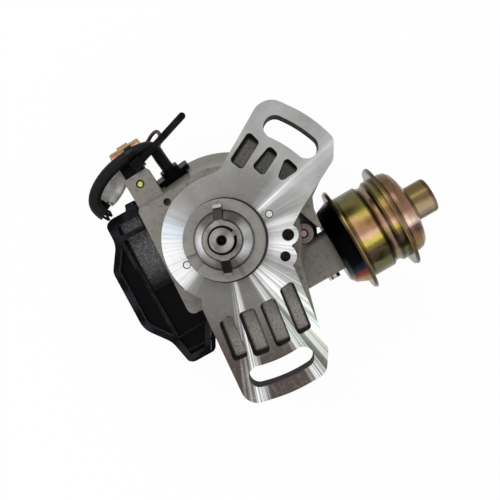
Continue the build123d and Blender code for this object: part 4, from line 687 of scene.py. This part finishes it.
STEEL = metal("inner_steel", tone(120, 118, 114), tone(168, 166, 162))
BRASS = metal("brass", tone(150, 118, 60), tone(206, 172, 98), 0.3)
SCREW = metal("black_screw", tone(30, 28, 27), tone(84, 80, 78), 0.3)
SPRING = metal("spring_wire", tone(60, 58, 56), tone(104, 102, 100), 0.3)
WEIGHT = metal("weight_steel", tone(92, 90, 86), tone(136, 134, 130))
RUBBER = moulded(
    "lead_rubber", tone(12, 12, 12), tone(28, 27, 26), 0.42, 380, 0.0001, Specular_IOR_Level=0.09
)
PIGTAIL = moulded("pigtail_brown", tone(34, 20, 16), tone(62, 38, 32), 0.35)
TIE = moulded(
    "tie_nylon", tone(4, 4, 4), tone(12, 12, 13), 0.3, polish=0.2, Specular_IOR_Level=0.05
)
FINISHES = {
    # housing and drive
    "housing": cast_housing(),
    "o_ring": moulded(
        "seal_rubber", tone(22, 16, 14), tone(40, 31, 27), 0.45, Specular_IOR_Level=0.16
    ),
    "dowel_pins": metal("dowel_steel", tone(196, 196, 194), tone(236, 236, 236), 0.3),
    "vent_plug": moulded("vent_plug_rose", tone(168, 124, 134), tone(214, 172, 180), 0.5),
    "shaft": turned("ground_shaft", tone(72, 68, 66), tone(170, 168, 168), SHAFT_FAN, 9, 2.1),
    "drive_collar": turned(
        "turned_collar", tone(104, 101, 99), tone(250, 252, 255), COLLAR_FAN, seams=(8.75, 12.8)
    ),
    "collar_pin": STEEL,
    # its upright faces darkened with painted shade
    "drive_dog": metal(
        "dog_steel", tone(104, 98, 93), tone(152, 147, 142), 0.34, side_shade=tone(22, 16, 13)
    ),
    "circlip": metal("oiled_black_ring", tone(14, 13, 12), tone(34, 32, 31), 0.35),
    "shaft_bush": metal("bush_bronze", tone(120, 84, 46), tone(166, 122, 72), 0.4),
    "oil_seal": moulded("oil_seal_rubber", tone(26, 22, 20), tone(46, 40, 36), 0.5),
    "thrust_washer": STEEL,
    # centrifugal advance
    "governor_plate": STEEL,
    "flyweight_a": WEIGHT,
    "flyweight_b": WEIGHT,
    "governor_spring_a": SPRING,
    "governor_spring_b": SPRING,
    "cam_sleeve": STEEL,
    # signal, plates and rotor
    "base_plate": STEEL,
    "base_plate_screws": SCREW,
    "plate_bearing": STEEL,
    "advance_plate": STEEL,
    "signal_rotor": STEEL,
    "pickup_pole": STEEL,
    "pickup_coil": moulded("coil_tape", tone(110, 58, 22), tone(156, 92, 40), 0.45),
    "igniter_module": moulded("igniter_black", tone(16, 16, 17), tone(30, 30, 32), 0.4),
    "igniter_screws": SCREW,
    "rotor_arm": moulded("rotor_phenolic", tone(84, 40, 30), tone(112, 58, 44), 0.35),
    "rotor_contact": BRASS,
    "rotor_screw": SCREW,
    # vacuum advance
    "vacuum_back_shell": chromate(
        "chromate_shell", 23.0, SHELL_BANDS, tone(58, 50, 32), haze=0.0
    ),
    "vacuum_can": chromate(
        "chromate_can", 22.0, CAN_BANDS, tone(104, 86, 56), CAN_RINGS, haze=0.06
    ),
    "vacuum_dome": chromate("chromate_dome", 21.7, DOME_BANDS, tone(78, 60, 44), DOME_RINGS),
    "vacuum_ports": metal("port_plating", tone(120, 108, 62), tone(180, 160, 96), 0.32),
    "vacuum_screw": metal("bright_screw", tone(120, 118, 116), tone(226, 226, 226), 0.25),
    "vacuum_rod": STEEL,
    "diaphragm_cup": STEEL,
    "diaphragm": moulded("diaphragm_rubber", tone(40, 36, 32), tone(62, 58, 52), 0.6),
    # cap with the coil
    "cap": cap_plastic(),
    "cap_gasket": moulded("gasket_rubber", tone(20, 20, 20), tone(36, 36, 36), 0.55),
    "cap_screws": SCREW,
    "cap_terminals": BRASS,
    "centre_brush": moulded("brush_carbon", tone(26, 26, 26), tone(48, 48, 48), 0.5),
    "brush_spring": SPRING,
    "coil_core": STEEL,
    "coil_winding": moulded("coil_resin", tone(14, 14, 15), tone(32, 32, 34), 0.25),
    "coil_screws": SCREW,
    # condenser and leads
    "condenser": condenser_copper(),
    "condenser_bracket": bracket_finish(),
    # its upright faces darkened with painted shade
    "lug_screw": metal(
        "lug_screw_plating", tone(116, 120, 48), tone(216, 220, 130), 0.22, 1500, side_shade=tone(18, 17, 10)
    ),
    "lead_grommet": moulded(
        "grommet_rubber", tone(2, 2, 2), tone(7, 7, 7), 0.4, Specular_IOR_Level=0.04
    ),
    "lead_wires": moulded(
        "wire_black", tone(6, 6, 6), tone(18, 17, 17), 0.4, Specular_IOR_Level=0.06
    ),
    "lead_connector": connector_plastic(),
    "wire_seal": moulded(
        "seal_black", tone(4, 4, 4), tone(12, 12, 12), 0.5, Specular_IOR_Level=0.05
    ),
    "cable_tie": TIE,
}
for node, finish in FINISHES.items():
    cad[node].data.materials.clear()
    cad[node].data.materials.append(finish)

for piece, finish, node, slot in (
    (sleeve, RUBBER, "lead_sleeve", "lead_rubber"), (pigtail, PIGTAIL, "condenser_lead", "brown_lead"),
):
    piece.data.materials.append(finish)
    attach(piece, "housing")
    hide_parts(node)


# ---------------------------------------------------------------- details that repeat
class Grower:
    """A Geometry Nodes tree with named sizes; its result is kept as a plain mesh."""

    def __init__(self, name, sizes):
        self.name = name
        self.tree = bpy.data.node_groups.new(name, "GeometryNodeTree")
        sockets = self.tree.interface
        self.sizes = {}
        for label, value in sizes.items():
            socket = sockets.new_socket(label, in_out="INPUT", socket_type="NodeSocketFloat")
            self.sizes[socket.identifier] = value
        sockets.new_socket("Geometry", in_out="OUTPUT", socket_type="NodeSocketGeometry")
        self.given = self.tree.nodes.new("NodeGroupInput").outputs

    def node(self, kind, settings=None, **values):
        """Adds a node and gives its first output.  Spaces in a socket's name are underscores, and _0 is the
        first socket."""
        new = self.tree.nodes.new(kind)
        for setting, value in (settings or {}).items():
            setattr(new, setting, value)
        for label, value in values.items():
            socket = new.inputs[int(label[1:]) if label[0] == "_" else label.replace("_", " ")]
            if isinstance(value, bpy.types.NodeSocket):
                self.tree.links.new(value, socket)
            else:
                socket.default_value = value
        return new.outputs[0]

    def product(self, first, second):
        return self.node("ShaderNodeMath", {"operation": "MULTIPLY"}, _0=first, _1=second)

    def coil(self, resolution, height, profile):
        """A profile swept along a helix of the given radius and turns."""
        helix = self.node(
            "GeometryNodeCurveSpiral", Resolution=resolution, Rotations=self.given["Turns"],
            Start_Radius=self.given["Radius"], End_Radius=self.given["Radius"], Height=height,
        )
        return self.node("GeometryNodeCurveToMesh", Curve=helix, Profile_Curve=profile, Fill_Caps=True)

    def grow(self, geometry, material, body):
        """Makes the result a plain mesh with its material and body."""
        real = self.node("GeometryNodeRealizeInstances", Geometry=geometry)
        dressed = self.node("GeometryNodeSetMaterial", Geometry=real, Material=material)
        self.tree.links.new(dressed, self.tree.nodes.new("NodeGroupOutput").inputs[0])
        holder = bpy.data.objects.new(self.name, bpy.data.meshes.new(self.name))
        scene.collection.objects.link(holder)
        modifier = holder.modifiers.new(self.name, "NODES")
        modifier.node_group = self.tree
        for identifier, value in self.sizes.items():
            modifier[identifier] = value
        bpy.context.view_layer.update()
        evaluated = holder.evaluated_get(bpy.context.evaluated_depsgraph_get())
        grown = bpy.data.meshes.new_from_object(evaluated)
        holder.modifiers.clear()
        holder.data = grown
        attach(holder, body)
        return holder


def thread_of_hole():
    """Thread that winds down the wall of the larger hole in the face."""
    g = Grower(
        "hole_thread", {"Radius": LARGE_HOLE_R * MM, "Pitch": 1.0 * MM, "Turns": 12.0, "Tooth": 0.34 * MM}
    )
    tooth = g.node("GeometryNodeCurvePrimitiveCircle", Resolution=6, Radius=g.given["Tooth"])
    ridge = g.coil(40, g.product(g.given["Pitch"], g.given["Turns"]), tooth)
    foot = (LARGE_HOLE[0] * MM, LARGE_HOLE[1] * MM, -LARGE_HOLE_DEEP * MM)
    placed = g.node("GeometryNodeTransform", Geometry=ridge, Translation=foot)
    brown = metal("thread_brown", tone(52, 38, 28), tone(132, 104, 80), 0.35)
    g.grow(placed, brown, "housing")


def teeth_of_tie():
    """Row of teeth across the inner side of the cable tie's tail."""
    g = Grower("tie_teeth", {"Teeth": 25.0, "Wide": 2.3 * MM, "Tooth": 0.22 * MM})
    half = g.product(g.given["Wide"], 0.5)
    bar = g.node(
        "GeometryNodeCurvePrimitiveLine", Start=g.node("ShaderNodeCombineXYZ", Y=g.product(half, -1.0)),
        End=g.node("ShaderNodeCombineXYZ", Y=half),
    )
    tooth = g.node("GeometryNodeCurvePrimitiveCircle", Resolution=4, Radius=g.given["Tooth"])
    ridge = g.node("GeometryNodeCurveToMesh", Curve=bar, Profile_Curve=tooth, Fill_Caps=True)
    row = g.node(
        "GeometryNodeMeshLine", {"mode": "END_POINTS"}, Count=g.given["Teeth"],
        Start_Location=[c * MM for c in TEETH_FROM], Offset=[c * MM for c in TEETH_TO],
    )
    lean = math.atan2(TEETH_TO[1] - TEETH_FROM[1], TEETH_TO[0] - TEETH_FROM[0])
    teeth = g.node("GeometryNodeInstanceOnPoints", Points=row, Instance=ridge, Rotation=(0, 0, lean))
    g.grow(teeth, TIE, "housing")


def spring_of_capsule():
    """Coil spring between the diaphragm's cup and the nose."""
    stations = [
        sum((c - start) * share for c, start, share in zip(v.co / MM, VACUUM_FOOT, VACUUM_ALONG))
        for v in cad["vacuum_spring"].data.vertices
    ]
    near, far = min(stations) + SPRING_WIRE, max(stations) - SPRING_WIRE
    foot, along = Vector((*VACUUM_FOOT, VACUUM_Z)), Vector((*VACUUM_ALONG, 0))
    cup_end, nose_end = (foot + along * near) * MM, (foot + along * far) * MM
    g = Grower("capsule_spring", {
        "Turns": SPRING_TURNS, "Radius": SPRING_R * MM, "Wire": SPRING_WIRE * MM, "Long": (far - near) * MM,
    })
    wire = g.node("GeometryNodeCurvePrimitiveCircle", Resolution=12, Radius=g.given["Wire"])
    coil = g.coil(36, g.given["Long"], wire)
    turn = (0, math.radians(90), math.radians(VACUUM_LEAN))
    placed = g.node("GeometryNodeTransform", Geometry=coil, Translation=cup_end, Rotation=turn)
    spring = g.grow(placed, SPRING, "housing")
    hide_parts("vacuum_spring")
    pressed = 1 - CAPSULE_PULL / (far - near)
    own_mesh(spring)


def post(place, turn):
    """Point where a spring's post stands; place is its radius and direction about the shaft axis."""
    radius, angle = place
    direction = math.radians(angle + turn)
    return Vector((math.cos(direction), math.sin(direction), 0)) * radius * MM


def return_spring(name, node, turn):
    """Spring of the weights, as a copy of its part's mesh with doubled points merged."""
    fixed, moving = post(FIXED_POST, turn), post(MOVING_POST, turn)
    eye = (moving - fixed).normalized() * SPRING_EYE * MM
    mesh = cad[node].data.copy()
    shell = bmesh.new()
    shell.from_mesh(mesh)
    bmesh.ops.remove_doubles(shell, verts=shell.verts, dist=MM / 1000)
    shell.to_mesh(mesh)
    shell.free()
    spring = bpy.data.objects.new(name, mesh)
    scene.collection.objects.link(spring)
    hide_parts(node)
    fixed + eye
    moving - eye
    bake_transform(spring)


TEETH_FROM = (-38.6, 42.6, -23.6)
TEETH_TO = (-24.4, 58.0, -23.6)
SPRING_R = 6.2
SPRING_WIRE = 0.7  # radius of the capsule spring's wire
SPRING_TURNS = 7.0
CAPSULE_PULL = 5.5  # how far the full pull shortens the capsule's spring
SPRING_EYE = 2.0  # length of a return spring's eye
FIXED_POST = (17.0, 158.0)  # radius and direction of each post of the first return spring
MOVING_POST = (16.4, 116.0)

thread_of_hole()
teeth_of_tie()
spring_of_capsule()
return_spring("return_spring_a", "governor_spring_a", 0)
return_spring("return_spring_b", "governor_spring_b", 180)


# ---------------------------------------------------------------- floor, world and lamps
def white_for_the_eye(owner, output, plain, white, glow):
    """Gives the world or a material its plain shader, mixed by glow with a white one where the eye sees it,
    straight on or in a reflection.  plain and white are each a kind of node with its sockets."""
    shades = Shades(owner)
    path = shades.node("ShaderNodeLightPath")
    camera, glossy, through = (path.beside(f"Is {ray} Ray") for ray in ("Camera", "Glossy", "Transmission"))
    clamped_sum = {"operation": "ADD", "use_clamp": True}
    seen = shades.node("ShaderNodeMath", clamped_sum, {0: camera + glossy, 1: through})
    plain_shader, white_shader = (shades.node(kind, None, sockets) for kind, sockets in (plain, white))
    mixed = shades.node("ShaderNodeMixShader", None, {0: seen * glow, 1: plain_shader, 2: white_shader})
    shades.tree.links.new(mixed.socket, shades.tree.nodes[output].inputs["Surface"])


ROOM_LIGHT = 0.72
PAPER = 0.94
TABLE_HALF = 3.0
WHITE = {"Color": (1, 1, 1, 1), "Strength": 1.0}

world = bpy.data.worlds.new("studio")
white_for_the_eye(
    world, "World Output", ("ShaderNodeBackground", {"Color": (1, 1, 1, 1), "Strength": ROOM_LIGHT}),
    ("ShaderNodeBackground", WHITE), 1.0,
)
scene.world = world

table = bpy.data.meshes.new("table")
corners = [(x * TABLE_HALF, y * TABLE_HALF, FLOOR_Z) for x, y in ((-1, -1), (1, -1), (1, 1), (-1, 1))]
table.from_pydata(corners, [], [(0, 1, 2, 3)])
floor = bpy.data.objects.new("table", table)
scene.collection.objects.link(floor)
paper = bpy.data.materials.new("paper")
white_for_the_eye(
    paper, "Material Output", ("ShaderNodeBsdfDiffuse", {"Color": (PAPER, PAPER, PAPER, 1)}),
    ("ShaderNodeEmission", WHITE), PAPER,
)
table.materials.append(paper)


def lamp(name, place, side, watts):
    """Square soft light that looks at the middle of the object."""
    light = bpy.data.lights.new(name, "AREA")
    light.size = side
    light.energy = watts
    aim(bpy.data.objects.new(name, light), place, MIDDLE)


MIDDLE = (0.01, 0.0, -0.03)
lamp("key", (-0.30, 0.45, 0.60), 0.5, 2.4)
lamp("fill", (0.45, -0.35, 0.55), 0.7, 1.2)
lamp("low", (-0.55, -0.50, 0.10), 0.5, 1.0)

scene.view_settings.view_transform = "Standard"
